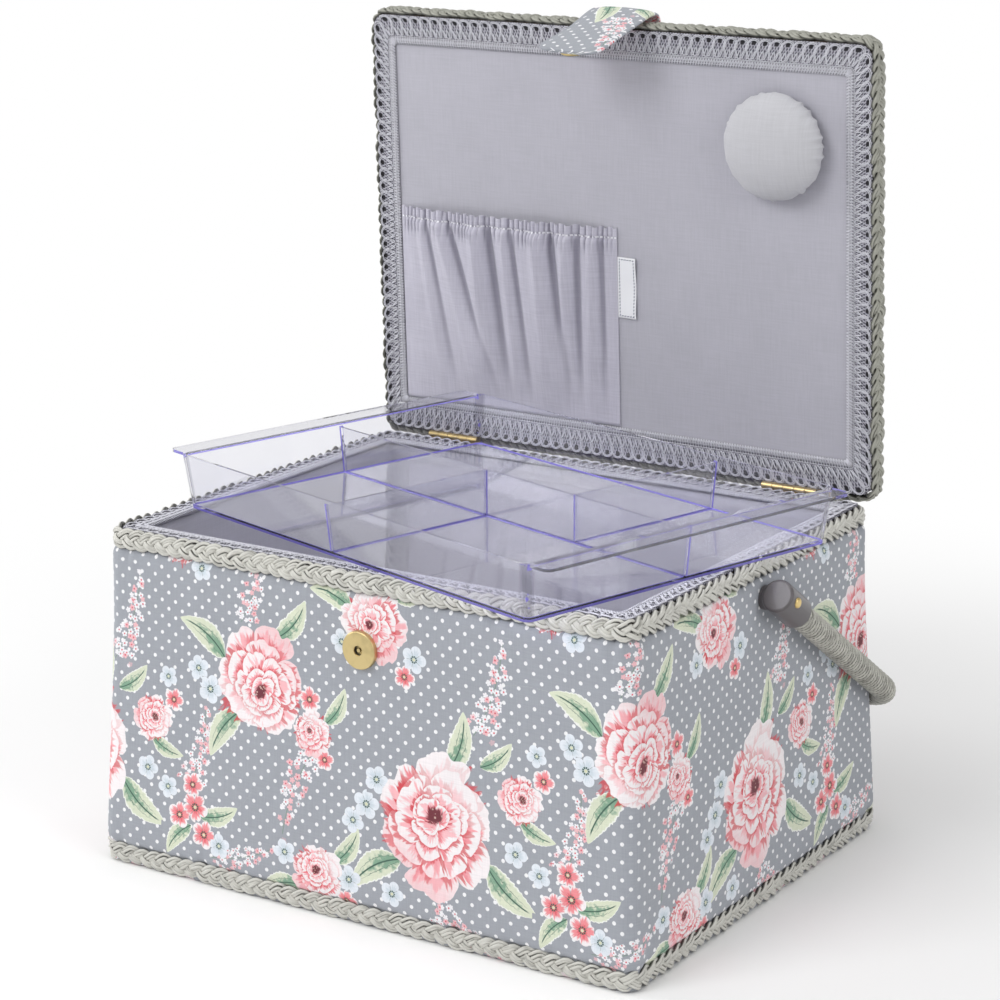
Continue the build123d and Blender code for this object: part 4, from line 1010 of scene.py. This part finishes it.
def gimp_backing(name, periods, edges, on_band, body, thick):
    """The thin net behind the cords, with a painted shadow for a hole in each scallop, placed by its map."""
    t = np.linspace(0, periods, periods * 6 + 1)
    across = np.linspace(*edges, 8)
    heights = np.repeat([0.25, 0.25 - thick], 8)
    lines = np.concatenate([across, across[::-1]])
    tt, ww = np.meshgrid(t[:-1], lines, indexing="ij")
    points, _ = on_band(tt, ww, np.broadcast_to(heights, tt.shape))
    faces = grid_faces(len(t) - 1, len(lines), True, True)
    base = grid_map(t[:, None], np.append(lines, lines[0])[None] / edges[1])
    return make_piece(name, points, faces, body, GIMP_BACK, {"cloth": base})


def net_finish():
    """The net behind the cords, worked out on (scallops along, share across): fine threads that cross at a
    slant, as sines of a sum and of a difference, painted shade in the gaps between them broken up by
    flecks, and a painted shadow for a small hole in each scallop."""
    made, tree, shader = material("gimp_net", Roughness=0.75)
    x, y, _ = split(tree, own_map(tree, "cloth"))
    fleck = noise(tree, vector(tree, x * 6.0, y * 14.0), 1.0, 3.0)
    one = ((x * 4.0 + y * 5.0) * TURN + fleck * 3.0).math("SINE")
    two = ((x * 4.0 - y * 5.0) * TURN + fleck * 3.0).math("SINE")
    thread = (one.math("MAXIMUM", two) + (fleck - 0.5) * 1.6).rise(0.0, 0.8)
    dx, dy = (x + 0.5) % 1.0 - 0.5, (y - 0.84) * 2.1
    hole_shadow = (reach_of(dx, dy) + (fleck - 0.5) * 0.16).fall(0.17, 0.22)
    # Painted shade in the gaps between the threads
    colour = mixed(tree, thread, srgb(84, 83, 94), srgb(176, 175, 185))
    # Painted shadow, near black, in each scallop's hole
    dress(tree, shader, mixed(tree, hole_shadow, colour, srgb(34, 32, 38)), thread, 0.0003)
    return made


GIMP_BACK = net_finish()


def scallop_stretch(t, scallops, half_x, half_y, radius):
    """Stretch numbers round a rounded rectangle for places counted in scallops from its start."""
    knots, length = ring_stretches(half_x, half_y, radius, 4000)
    return np.interp((t / scallops % 1.0) * length[-1], length, knots)


def rim_band(t, across, height):
    """Place on the rim: across runs from the inner edge outwards, the inner edge rolls down, and the outer
    part of the rear stretch reaches out to the hinges."""
    stretch = scallop_stretch(t, RIM_SCALLOPS, 151.5, 115.0, 4.0)
    x, y, _, _ = on_ring(stretch, 145.2 + across, 108.7 + across, 0.8 + across * 0.35)
    rear = soft_step(y, 70.0, 108.0) * soft_step(across, 3.0, 12.0)
    z = 184.0 + height - 1.7 * (1 - soft_step(across, -0.6, 2.4)) + 0.9 * rear
    points = np.stack([x, y + 3.6 * rear, z], -1)
    return points, np.broadcast_to([0, 0, 1.0], points.shape)


def lid_band(t, across, height):
    """Place on the lid's lining, drawn shut: across runs from the inner edge outwards, and the outer part
    of the rear and front stretches reaches to the lid's rope."""
    stretch = scallop_stretch(t, LID_SCALLOPS, 153.5, 113.25, 5.0)
    x, y, _, _ = on_ring(stretch, 145.5 + across, 105.25 + across, 0.8 + across * 0.45)
    reach = 3.8 * soft_step(y, 70.0, 104.0) - 2.0 * soft_step(-y, 70.0, 104.0)
    y = y + 1.75 + reach * soft_step(across, 3.0, 14.0)
    points = opened(np.stack([x, y, 188.9 - height], -1))
    up = opened(np.array([0, 0, -1.0])) - opened(np.zeros(3))
    return points, np.broadcast_to(up, points.shape)


rim_gimp = gimp("rim_gimp_cords", RIM_SCALLOPS, 12.6, rim_band, "box")
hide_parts("rim_gimp")
rim_back = gimp_backing("rim_gimp_net", RIM_SCALLOPS, (0.6, 12.0), rim_band, "box", 1.0)
lid_gimp = gimp("lid_gimp_cords", LID_SCALLOPS, 16.0, lid_band, "lid")
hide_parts("lid_gimp")
lid_back = gimp_backing("lid_gimp_net", LID_SCALLOPS, (0.5, 15.2), lid_band, "lid", 0.3)

# Handle winding: places of the bar's straight runs and bends, the width of one wound cord, and radii
BAR_X, BAR_FAR, BAR_START, BAR_BEND = 172.9, 160.2, 17.5, 20.0
CORD_PITCH, WOUND_RADIUS, RIDGE, BAR_RADIUS, WOUND_SIDES = 2.7, 6.0, 0.8, 5.08, 48


def winding():
    """Two cords wound side by side round the handle's bar. The radius rises from each groove by the root of
    a sine's size, once for each cord passed, and a little with the cord's own twist. The bar runs straight,
    round a bend, across and back, and the winding is hollow down to the bar's own radius."""
    leg, bend = BAR_FAR - BAR_BEND - BAR_START, BAR_BEND * TURN / 4
    knots = np.cumsum([0, leg, bend, 2 * (BAR_X - BAR_BEND), bend, leg])
    steps, end = int(knots[-1] / 0.62), knots[-1] - 0.05
    length = np.concatenate([np.linspace(0.05, end, steps), np.linspace(end, 0.05, 60)])
    k = np.arange(6)
    stretch = np.interp(length, knots, k)
    heading = np.radians(np.interp(stretch, k, [180, 180, 90, 90, 0, 0]))
    side = np.array([-1, -1, -1, 1, 1, 1]) * (BAR_X - BAR_BEND)
    x = np.interp(stretch, k, side) + BAR_BEND * np.cos(heading)
    ahead = [BAR_START] + [BAR_FAR - BAR_BEND] * 4 + [BAR_START]
    y = np.interp(stretch, k, ahead) + BAR_BEND * np.sin(heading)
    around = np.arange(WOUND_SIDES) / WOUND_SIDES
    phase = length[:, None] / CORD_PITCH - around[None] * 2
    ridge = np.sqrt(np.abs(np.sin(phase * math.pi)))
    twist = np.cos(TURN * (around[None] * 17 + phase * 0.5))
    radius = WOUND_RADIUS + RIDGE * ridge + 0.14 * twist * ridge
    ends = np.minimum(length, knots[-1] - length)
    radius = radius - 0.4 * (1 - soft_step(ends, 0.0, 1.5))[:, None]
    inner = np.arange(len(length)) >= steps
    radius = np.where(inner[:, None], BAR_RADIUS, radius)
    angle = around[None] * TURN
    across = radius * np.cos(angle)
    x = x[:, None] + across * np.cos(heading)[:, None]
    out, up = y[:, None] + across * np.sin(heading)[:, None], radius * np.sin(angle)
    c, s = math.cos(REST_ANGLE), math.sin(REST_ANGLE)
    points = np.stack([x, PIVOT_Y + out * c + up * s, PIVOT_Z - out * s + up * c], -1)
    faces = grid_faces(len(length), WOUND_SIDES, True, True)
    lines = np.linspace(0, 1, WOUND_SIDES + 1)
    turns = np.append(length, length[0])[:, None] / CORD_PITCH - lines[None] * 2
    strand = np.linspace(0, 44.6, WOUND_SIDES + 1)[None] + 7.3 * np.floor(turns)
    return make_piece("handle_winding", points, faces, "handle", WINDING, {"strand": grid_map(strand, turns)})


def winding_finish():
    """Wound cord: fine fibres round the handle, painted shade in the grooves between the turns, and short
    near-black painted shadows here and there in them.
    """
    made, tree, shader = material("winding_cord", Roughness=0.48)
    place = own_map(tree, "strand")
    fibres = placed(tree, FIBRES, Strand=place, Count=5.0)
    around, turns, _ = split(tree, place)
    # Painted shade in the grooves between the turns of cord
    valley = abs(turns % 1.0 - 0.5).rise(0.32, 0.44)
    shadow_patches = noise(tree, vector(tree, around * 0.5, turns * 0.9), 1.0)
    shade = Num(tree, fibres.outputs["Shade"]).rise(-0.25, 0.15)
    colour = mixed(tree, shade, srgb(112, 111, 103), srgb(192, 191, 182))
    colour = mixed(tree, valley * 0.6, colour, srgb(92, 90, 82))
    # Painted shadow: near-black gaps between the turns, where the patches allow
    colour = mixed(tree, valley * shadow_patches.rise(0.44, 0.50), colour, srgb(34, 32, 29))
    dress(tree, shader, colour, fibres.outputs["Height"], 0.00015)
    return made


WINDING = winding_finish()
wound = winding()
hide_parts("handle_wrap")

# Pocket, elastic and label on the lid's lining. Heights up the pocket are shares of its height
POCKET_X, POCKET_WIDE, POCKET_LOW, POCKET_TALL = -145.2, 147.2, 20.8, 116.2
POCKET_COLUMNS, POCKET_ROWS, GATHERS, STITCH = 440, 74, 44, 0.942
CLOTH_THICK = 0.75

# Folds of the pocket: place at the mouth, slip to one side at the foot, width, depth
FOLDS = [
    (0.09, 0.10, 0.022, 2.0), (0.18, 0.19, 0.030, 3.6), (0.37, 0.02, 0.036, 5.0), (0.50, 0.04, 0.022, 2.6),
    (0.655, 0.02, 0.036, 5.2), (0.79, -0.05, 0.028, 3.8), (0.90, -0.03, 0.022, 2.6),
]


def pinned(across):
    """0 at the pocket's two sides and 1 away from them."""
    return np.clip(np.minimum(across, 1 - across) / 0.03, 0, 1)


def pocket_gap(across, height):
    """How far the pocket's cloth stands off the lining: a billow, soft folds that deepen towards the mouth,
    fine gathers at the elastic and a sewn groove under them, all pinned at both sides."""
    fullness = (1 - np.abs(2 * across - 1) ** 3) * height ** 0.8
    folds = 0.0
    for place, slip, wide, deep in FOLDS:
        gap = (across - place - slip * (1 - height)) / (wide * (2.0 - 1.0 * height))
        crease = np.exp(-np.abs(gap) ** 1.5) - 0.8 * np.exp(-((gap - 1.55) / 0.5) ** 2)
        folds = folds + deep * crease * (0.3 + 0.7 * height ** 0.8) * np.minimum(height * 4, 1)
    wave = np.abs(np.sin(math.pi * (across * GATHERS + 0.6 * np.sin(across * 19)))) ** 0.7
    ruffle = 1.7 * (wave - 0.7) * soft_step(height, 0.83, 0.92)
    groove = np.exp(-((height - STITCH) / 0.010) ** 2)
    hold = pinned(across)
    return (
        7.0 * fullness + folds * hold * (1 - 0.6 * soft_step(height, 0.9, 0.96)) + ruffle * hold
        - 1.1 * groove * hold - 0.8 * hold * soft_step(height, 0.93, 1.0)
    ).clip(0.05)


def strip(name, across, height, gap, thick, finish, rise=0.0, **marks):
    """A cloth over a grid of places on the lid's lining: its back stands off by the gap, its face by the
    thickness more, and it is closed round its edges. Rise moves it up, and marks are kept as maps."""
    rows, columns = gap.shape
    x = POCKET_X + POCKET_WIDE * across
    y = HINGE_Y - (POCKET_LOW + POCKET_TALL * height + rise)
    face = np.stack([x, y, LINING_Z - gap - thick], -1)
    back = np.stack([x, y, LINING_Z - gap], -1)[::-1]
    points = np.concatenate([face, back])
    faces = [grid_faces(2 * rows, columns, True, False)]
    for column in (0, columns - 1):
        k = np.arange(rows - 1)
        near, far = k * columns + column, (2 * rows - 1 - k) * columns + column
        quad = np.stack([near, near + columns, far - columns, far], -1)
        faces.append(quad if column else quad[:, ::-1])
    faces = np.concatenate(faces)
    maps = {"cloth": points.reshape(-1, 3)[faces][..., :2]}
    for label, values in marks.items():
        corners = np.concatenate([values, values[::-1]]).reshape(-1)[faces]
        maps[label] = np.stack([corners, corners], -1)
    return make_piece(name, opened(points), faces, "lid", finish, maps)


def pocket():
    """The pocket's cloth, with the depth of its valleys, below the middle of the cloth around, as a map for
    painted shade in the folds. Its upper edge waves a little."""
    rows = 1 - (1 - np.linspace(0, 1, POCKET_ROWS)) ** 1.3
    a, h = np.meshgrid(np.linspace(0, 1, POCKET_COLUMNS), rows, indexing="xy")
    gap = pocket_gap(a, h)
    around = np.stack([np.roll(gap, k, 1) for k in range(-12, 13, 2)]).mean(0)
    # Painted shade: how far each place lies below the cloth around it, for darker valleys
    valley = np.clip((around - gap) / 0.8, 0, 1) * pinned(a)
    edge = 0.6 * np.sin(TURN * (a * (GATHERS / 2) + 0.3 * np.sin(a * 19))) * soft_step(h, 0.9, 1.0)
    rise = edge - 0.9 * soft_step(h, 0.9, 1.0)
    return strip("pocket_cloth", a, h, gap, CLOTH_THICK, POCKET, rise, valley=valley)


def pocket_finish():
    """The lining's cotton with painted shade down in the folds, and a sewn line under the pocket's header."""
    made, tree, shader = material("pocket_cotton", Roughness=0.8, Sheen_Weight=0.2, Sheen_Roughness=0.5)
    place = own_map(tree, "cloth")
    x, y, _ = split(tree, place)
    height, shade = woven(tree, place, 1.9)
    colour = mixed(tree, shade.rise(-0.7, 0.7), srgb(177, 175, 189), srgb(199, 197, 210))
    # Painted shade down in the folds, by the valley map
    depth, _, _ = split(tree, own_map(tree, "valley"))
    colour = mixed(tree, depth * 0.55, colour, srgb(104, 101, 119))
    line = abs(y - (HINGE_Y - POCKET_LOW - POCKET_TALL * STITCH)).fall(0.4, 0.65)
    stitch = abs((x / 2.2) % 1.0 - 0.5).fall(0.30, 0.36) * line
    # Painted shade in the sewn groove under the stitches
    colour = mixed(tree, line * 0.45, colour, srgb(110, 108, 122))
    dress(tree, shader, mixed(tree, stitch, colour, srgb(232, 232, 238)), height, WEAVE_DEPTH)
    return made


POCKET = pocket_finish()
pocket_cloth = pocket()
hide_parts("pocket")


def strip_grid(left, right, columns, low, high, rows):
    """A grid of places on the lining, as shares across and up the pocket."""
    return np.meshgrid(np.linspace(left, right, columns), np.linspace(low, high, rows), indexing="xy")


a, h = strip_grid(0.065, 0.935, 150, STITCH - 0.021, STITCH + 0.021, 9)
elastic = strip("pocket_elastic_band", a, h, pocket_gap(a, h) - CLOTH_THICK, 0.6, ELASTIC)
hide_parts("pocket_elastic")


# Label beside the pocket: its width, its foot and head as shares of the pocket's height, and its middle
LABEL_WIDE, LABEL_LOW, LABEL_HIGH, LABEL_TALL = 12.0, 0.5482, 0.8494, 0.3012
LABEL_X, LABEL_Y, LABEL_HALF_X, LABEL_HALF_Y = 8.0, 25.5, 6.0, 17.5


def label_finish():
    """A white woven label, bare but for a dashed line round its edge."""
    made, tree, shader = material("label_cloth", Roughness=0.7, Sheen_Weight=0.1)
    place = own_map(tree, "cloth")
    x, y, _ = split(tree, place)
    weave = placed(tree, WEAVE, Place=place, Threads=2.6)
    near = (abs(x - LABEL_X) - LABEL_HALF_X).math("MAXIMUM", abs(y - LABEL_Y) - LABEL_HALF_Y)
    line = abs(near + 1.3).fall(0.22, 0.34)
    dash = abs((x + y) / 1.9 % 1.0 - 0.5).fall(0.26, 0.32)
    colour = mixed(tree, line * dash, srgb(238, 239, 243), srgb(44, 50, 92))
    dress(tree, shader, colour, weave.outputs["Height"], WEAVE_DEPTH)
    return made


LABEL = label_finish()
a, h = strip_grid(1.0, 1.0 + LABEL_WIDE / POCKET_WIDE, 14, LABEL_LOW, LABEL_HIGH, 36)
u, v = (a - 1.0) * POCKET_WIDE / LABEL_WIDE, (h - LABEL_LOW) / LABEL_TALL
curl = 0.08 + 0.9 * u ** 2 * (0.6 + 0.4 * np.cos(v * 5 + 0.6)) + 0.25 * u * np.sin(v * 9)
label = strip("pocket_label_cloth", a, h, np.maximum(curl, 0.05), 0.45, LABEL)
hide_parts("pocket_label")


def pincushion():
    """A round cushion: an outline of (radius, height), smoothed, turns about an axis, with gathers as roots
    of a sine's size that deepen towards its foot. Its foot is a hollow for the card."""
    sides = 216
    around = np.arange(sides) / sides * TURN
    outline = np.array([
        (0, 20.0), (4, 19.9), (8, 19.6), (12, 19.0), (16, 18.0), (20, 16.6), (23.4, 14.8), (26.4, 12.6),
        (28.6, 10.2), (29.7, 7.8), (29.8, 5.4), (29.0, 3.2), (27.4, 1.5), (25.6, 0.5), (24.6, 0.12),
    ])
    t = np.linspace(0, len(outline) - 1, 64)
    k = np.arange(len(outline))
    radius, height = np.interp(t, k, outline[:, 0]), np.interp(t, k, outline[:, 1])
    for _ in range(6):
        radius[1:-1] = (radius[:-2] + 2 * radius[1:-1] + radius[2:]) / 4
        height[1:-1] = (height[:-2] + 2 * height[1:-1] + height[2:]) / 4
    sway = around + 0.12 * np.sin(around * 3 + 1) + 0.07 * np.sin(around * 7)
    pleat = np.abs(np.sin(sway * 11)) ** 0.6 + 0.4 * np.abs(np.sin(sway * 17 + 1))
    low = (1 - height / 20.0)[:, None] ** 1.7
    r = radius[:, None] - 2.1 * (pleat[None] - 0.6) * low * (radius[:, None] / 30) ** 3
    z = height[:, None] + 0.35 * np.sin(around * 2 + 0.5)[None] * (radius[:, None] / 30) ** 2
    z = np.maximum(z, 0.08)
    under = np.array([(24.3, 0.3), (24.25, 1.7), (12.0, 1.75), (0.0, 1.75)])
    r = np.concatenate([r, np.repeat(under[:, :1], sides, 1)])
    z = np.concatenate([z, np.repeat(under[:, 1:], sides, 1)])
    x = 104.8 + r * np.cos(around)
    y = -63.5 + r * np.sin(around)
    points = np.stack([x, y, LINING_Z - z], -1)
    faces = grid_faces(len(r), sides, False, True)
    base = points.reshape(-1, 3)[faces][..., :2]
    return weld(make_piece("pincushion_pad", opened(points), faces, "lid", CUSHION, {"cloth": base}))


cushion = pincushion()
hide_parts("pincushion")

# The strap: sewn to the lid at its root, it bends at the lid's front edge and hangs free to its tip
FOLD = np.array([LID_FRONT, 206.6])
STRAP_X, STRAP_HALF, TIP_RADIUS, STRAP_ANGLE = 4.0, 20.0, 9.0, math.radians(14)
STRAP_STEPS, STRAP_SIDES = 96, 40

# Where the strap lies on the print, and how far its back lies from its face there
PRINT_U, PRINT_V, PRINT_BACK = 70.0, 56.0, 118.0


def strap():
    """A padded strip along a path of (y, z) whose corners are cut four times; its section is a flat oval
    with a seam at the edges, narrowing to a round tip. Past the fold the path is turned by the strap's rest
    angle. The strip bows and cups a little along its length."""
    root = [
        (-90.0, 205.0), (-98.0, 204.7), (-106.0, 204.4), (-112.0, 204.6), (-118.0, 205.2), (-124.5, 204.9),
    ]
    free = [(-129.5, 204.0), (-131.9, 201.0)] + [(-132.45, z) for z in (196.0, 180.0, 160.0, 135.0)]
    c, s = math.cos(STRAP_ANGLE), math.sin(STRAP_ANGLE)
    turned = [
        (FOLD[0] + (y - FOLD[0]) * c - (z - FOLD[1]) * s, FOLD[1] + (y - FOLD[0]) * s + (z - FOLD[1]) * c)
        for y, z in free
    ]
    knots = np.array(root + turned)
    for _ in range(4):
        cut = np.stack([knots[:-1] * 0.75 + knots[1:] * 0.25, knots[:-1] * 0.25 + knots[1:] * 0.75], 1)
        knots = np.concatenate([knots[:1], cut.reshape(-1, 2), knots[-1:]])
    steps = np.append(0, np.cumsum(np.linalg.norm(np.diff(knots, axis=0), axis=1)))
    along = np.linspace(0, steps[-1], STRAP_STEPS)
    y, z = np.interp(along, steps, knots[:, 0]), np.interp(along, steps, knots[:, 1])
    tangent = unit(np.gradient(np.stack([y, z], -1), axis=0))
    out = np.stack([tangent[:, 1], -tangent[:, 0]], -1)
    left = steps[-1] - along
    rounding = np.sqrt(np.maximum(TIP_RADIUS ** 2 - (TIP_RADIUS - left) ** 2, 0))
    tip = np.where(left < TIP_RADIUS, STRAP_HALF - TIP_RADIUS + rounding, STRAP_HALF)
    angle = np.arange(STRAP_SIDES) / STRAP_SIDES * TURN
    c, s = np.cos(angle), np.sin(angle)
    across = np.sign(c) * np.abs(c) ** 0.42
    through = np.sign(s) * np.abs(s) ** 0.55
    seam = 1 - 0.45 * np.exp(-((np.abs(across) - 0.87) / 0.05) ** 2)
    thick = 1.3 * np.sqrt(np.clip(np.minimum(left, along) / 1.2, 0, 1))
    bow = -1.6 * np.exp(-((along - 36) / 12) ** 2) + 0.5 * np.sin(along / 15.0)
    cup = bow[:, None] * across[None] ** 2 + 0.5 * np.sin(along / 11.0 + 1)[:, None] * across[None]
    x = STRAP_X + tip[:, None] * across[None] + 0.25 * np.sin(along / 9)[:, None]
    lift = thick[:, None] * (through * seam)[None] + cup
    points = np.stack([x, y[:, None] + lift * out[:, :1], z[:, None] + lift * out[:, 1:]], -1)
    faces = grid_faces(STRAP_STEPS, STRAP_SIDES, False, True)
    fan = np.array([[0, 2 * k + 1, 2 * k + 2, 2 * k + 3] for k in range(STRAP_SIDES // 2 - 1)])
    faces = np.concatenate([faces, fan, fan[:, ::-1] + (STRAP_STEPS - 1) * STRAP_SIDES])

    # The print on the face and the back; a quad that runs from one to the other is kept on the face
    grid = (STRAP_STEPS, STRAP_SIDES)
    u = np.broadcast_to(across * STRAP_HALF + PRINT_U + (through < 0) * PRINT_BACK, grid).reshape(-1)
    v = np.broadcast_to(along[:, None] + PRINT_V, grid).reshape(-1)
    base = np.stack([u[faces], v[faces]], -1)
    jump = np.ptp(base[..., 0], axis=1) > PRINT_BACK / 2 + 1
    over = base[jump, :, 0] > PRINT_U + PRINT_BACK / 2
    base[jump, :, 0] = np.where(over, base[jump, :, 0] - PRINT_BACK, base[jump, :, 0])
    return weld(make_piece("strap_cloth", opened(points), faces, None, COTTON, print_maps(base)))


band = strap()
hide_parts("strap_root", "strap")
ends = [opened(np.array([0, FOLD[0] - 0.6 * k, FOLD[1] - 0.8 * k])) * 0.001 for k in (-1.5, 4.0)]
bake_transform(band)

# Clear tray: the part's own solid with its sharp edges rounded. Widths and the floor plate's height in metres
EDGE_WIDTH, PLATE_HEIGHT = 0.0003, 0.0014


def rounded_copy(name, node, finish, width):
    """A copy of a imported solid, merged, with its edges and inner corners rounded. These roundings, the
    flange's edge and the edge of the floor plate have the second finish and a map of 1. Narrow faces, by
    twice a face's area over their outline's length, have a map of 1 on top of a wall and 0.3 elsewhere."""
    mesh = nodes[node].data.copy()
    mesh.materials.clear()
    made = bmesh.new()
    made.from_mesh(mesh)
    bmesh.ops.remove_doubles(made, verts=made.verts, dist=1e-6)
    bmesh.ops.dissolve_limit(made, angle_limit=math.radians(1), verts=made.verts, edges=made.edges)
    for hollow, offset in ((True, 2.4 * width), (False, width)):
        bends = [
            e for e in made.edges
            if len(e.link_faces) == 2 and e.calc_face_angle(0) > math.radians(25) and e.is_convex != hollow
        ]
        new = bmesh.ops.bevel(
            made, geom=bends, offset=offset, segments=2, profile=0.5, affect="EDGES", clamp_overlap=True,
        )
        for face in new["faces"]:
            face.material_index = 1
    line = min(v.co.z for v in made.verts) + PLATE_HEIGHT
    everything = [*made.verts, *made.edges, *made.faces]
    bmesh.ops.bisect_plane(made, geom=everything, plane_co=(0, 0, line), plane_no=(0, 0, 1))
    layer = made.loops.layers.uv.get("edge") or made.loops.layers.uv.new("edge")
    for face in made.faces:
        wide = 2000 * face.calc_area() / max(face.calc_perimeter(), 1e-9)
        longest = max(face.edges, key=lambda e: e.calc_length())
        lying = abs((longest.verts[0].co - longest.verts[1].co).normalized().z) < 0.5
        narrow = wide < 1.3
        foot = face.calc_center_median().z < line and -0.9 < face.normal.z < 0.5
        if foot or narrow and lying and abs(face.normal.z) < 0.3:
            face.material_index = 1
        amount = 1.0 if face.material_index or narrow and face.normal.z > 0.9 else 0.3 * narrow
        for loop in face.loops:
            loop[layer].uv = (amount, 0.0)
        face.smooth = True
    made.to_mesh(mesh)
    made.free()
    mesh.set_sharp_from_angle(angle=math.radians(40))
    for one in finish:
        mesh.materials.append(one)
    piece = put(name, mesh)
    piece.modifiers.new("flat_faces", "WEIGHTED_NORMAL").keep_sharp = True
    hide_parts(node)
    return piece


tray = rounded_copy("clear_tray", "tray", (CLEAR, CLEAR_EDGE), EDGE_WIDTH)
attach(tray, "tray")

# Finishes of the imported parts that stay
FINISHES = {
    BOARD: ["base_board", "front_board", "back_board", "left_board", "right_board", "lid_board"],
    BRASS: ["hinge_box_leaves", "hinge_lid_leaves", "hinge_pins", "hinge_box_screws", "hinge_lid_screws",
            "cap_rivets"],
    SATIN_BRASS: ["snap_socket", "strap_snap"],
    STEEL: ["snap_washer", "strap_washer", "handle_screws"],
    MAGNET: ["snap_magnet"],
    CARD: ["pincushion_card"],
    WIRE: ["handle_core"],
    PLASTIC: ["handle_caps", "handle_spacers"],
}
for finish, names in FINISHES.items():
    for name in names:
        mesh = nodes[name].data
        mesh.materials.clear()
        mesh.materials.append(finish)

# Floor, backdrop, lights and camera
WORLD_LIGHT = 0.54


def white_world():
    """White where it is seen, and an even grey-white light elsewhere."""
    world = bpy.data.worlds.new("studio")
    bpy.context.scene.world = world
    world.use_nodes = True
    seen = seen_by(world.node_tree, "Camera", "Transmission")
    back = world.node_tree.nodes["Background"]
    back.inputs["Color"].default_value = (1.0, 1.0, 1.0, 1.0)
    plug(world.node_tree, back.inputs["Strength"], seen * (1.0 - WORLD_LIGHT) + WORLD_LIGHT)


def white_floor():
    """A pale floor that keeps the object's shadow, and that fades to plain white away from it."""
    mesh = bpy.data.meshes.new("floor")
    mesh.from_pydata([(-9, -9, 0), (9, -9, 0), (9, 9, 0), (-9, 9, 0)], [], [(0, 1, 2, 3)])
    made, tree, shader = material("floor_white", Roughness=0.9)
    shader.inputs["Base Color"].default_value = (0.90, 0.90, 0.90, 1.0)
    x, y, _ = split(tree, object_place(tree))
    far = reach_of(x, y).rise(0.25, 0.75)
    glow = tree.nodes.new("ShaderNodeEmission")
    blend_shaders(tree, far * seen_by(tree, "Camera", "Transmission", "Glossy"), shader, glow)
    mesh.materials.append(made)
    return put("floor", mesh)


white_world()
floor = white_floor()


def lamp(name, place, aim, size, power):
    """A square soft light at a place, aimed at a point, both in metres."""
    light = bpy.data.lights.new(name, "AREA")
    light.size, light.energy = size, power
    made = put(name, light)
    made.location = place
    made.rotation_euler = (Vector(aim) - Vector(place)).to_track_quat("-Z", "Y").to_euler()


lamp("key", (-0.7, -1.9, 1.7), (0, 0, 0.2), 1.2, 25)
lamp("left", (-1.7, -0.5, 0.9), (0, 0, 0.25), 0.8, 11)
lamp("side", (2.0, -0.5, 1.2), (0, 0, 0.2), 1.2, 12)
lamp("top", (0.1, 0.0, 2.3), (0, 0, 0.2), 1.2, 8)


def photo_camera():
    """The camera of the photograph: its back axis by azimuth and elevation, rolled a little about itself."""
    azimuth, elevation, roll = math.radians(32.283), math.radians(11.70), math.radians(-0.196)
    flat = math.cos(elevation)
    back = Vector((math.sin(azimuth) * flat, -math.cos(azimuth) * flat, math.sin(elevation)))
    right = Vector((math.cos(azimuth), math.sin(azimuth), 0))
    up = back.cross(right)
    c, s = math.cos(roll), math.sin(roll)
    turn = Matrix((right * c + up * s, up * c - right * s, back)).transposed().to_4x4()
    camera = put("camera", bpy.data.cameras.new("camera"))
    camera.matrix_world = Matrix.Translation((0.8477, -1.2719, 0.6107)) @ turn
    camera.data.lens, camera.data.sensor_width = 106.49, 36.0
    camera.data.shift_x, camera.data.shift_y = -0.0618, -0.1846
    camera.data.clip_end = 60
    bpy.context.scene.camera = camera


photo_camera()
bpy.context.scene.view_settings.view_transform = "Standard"
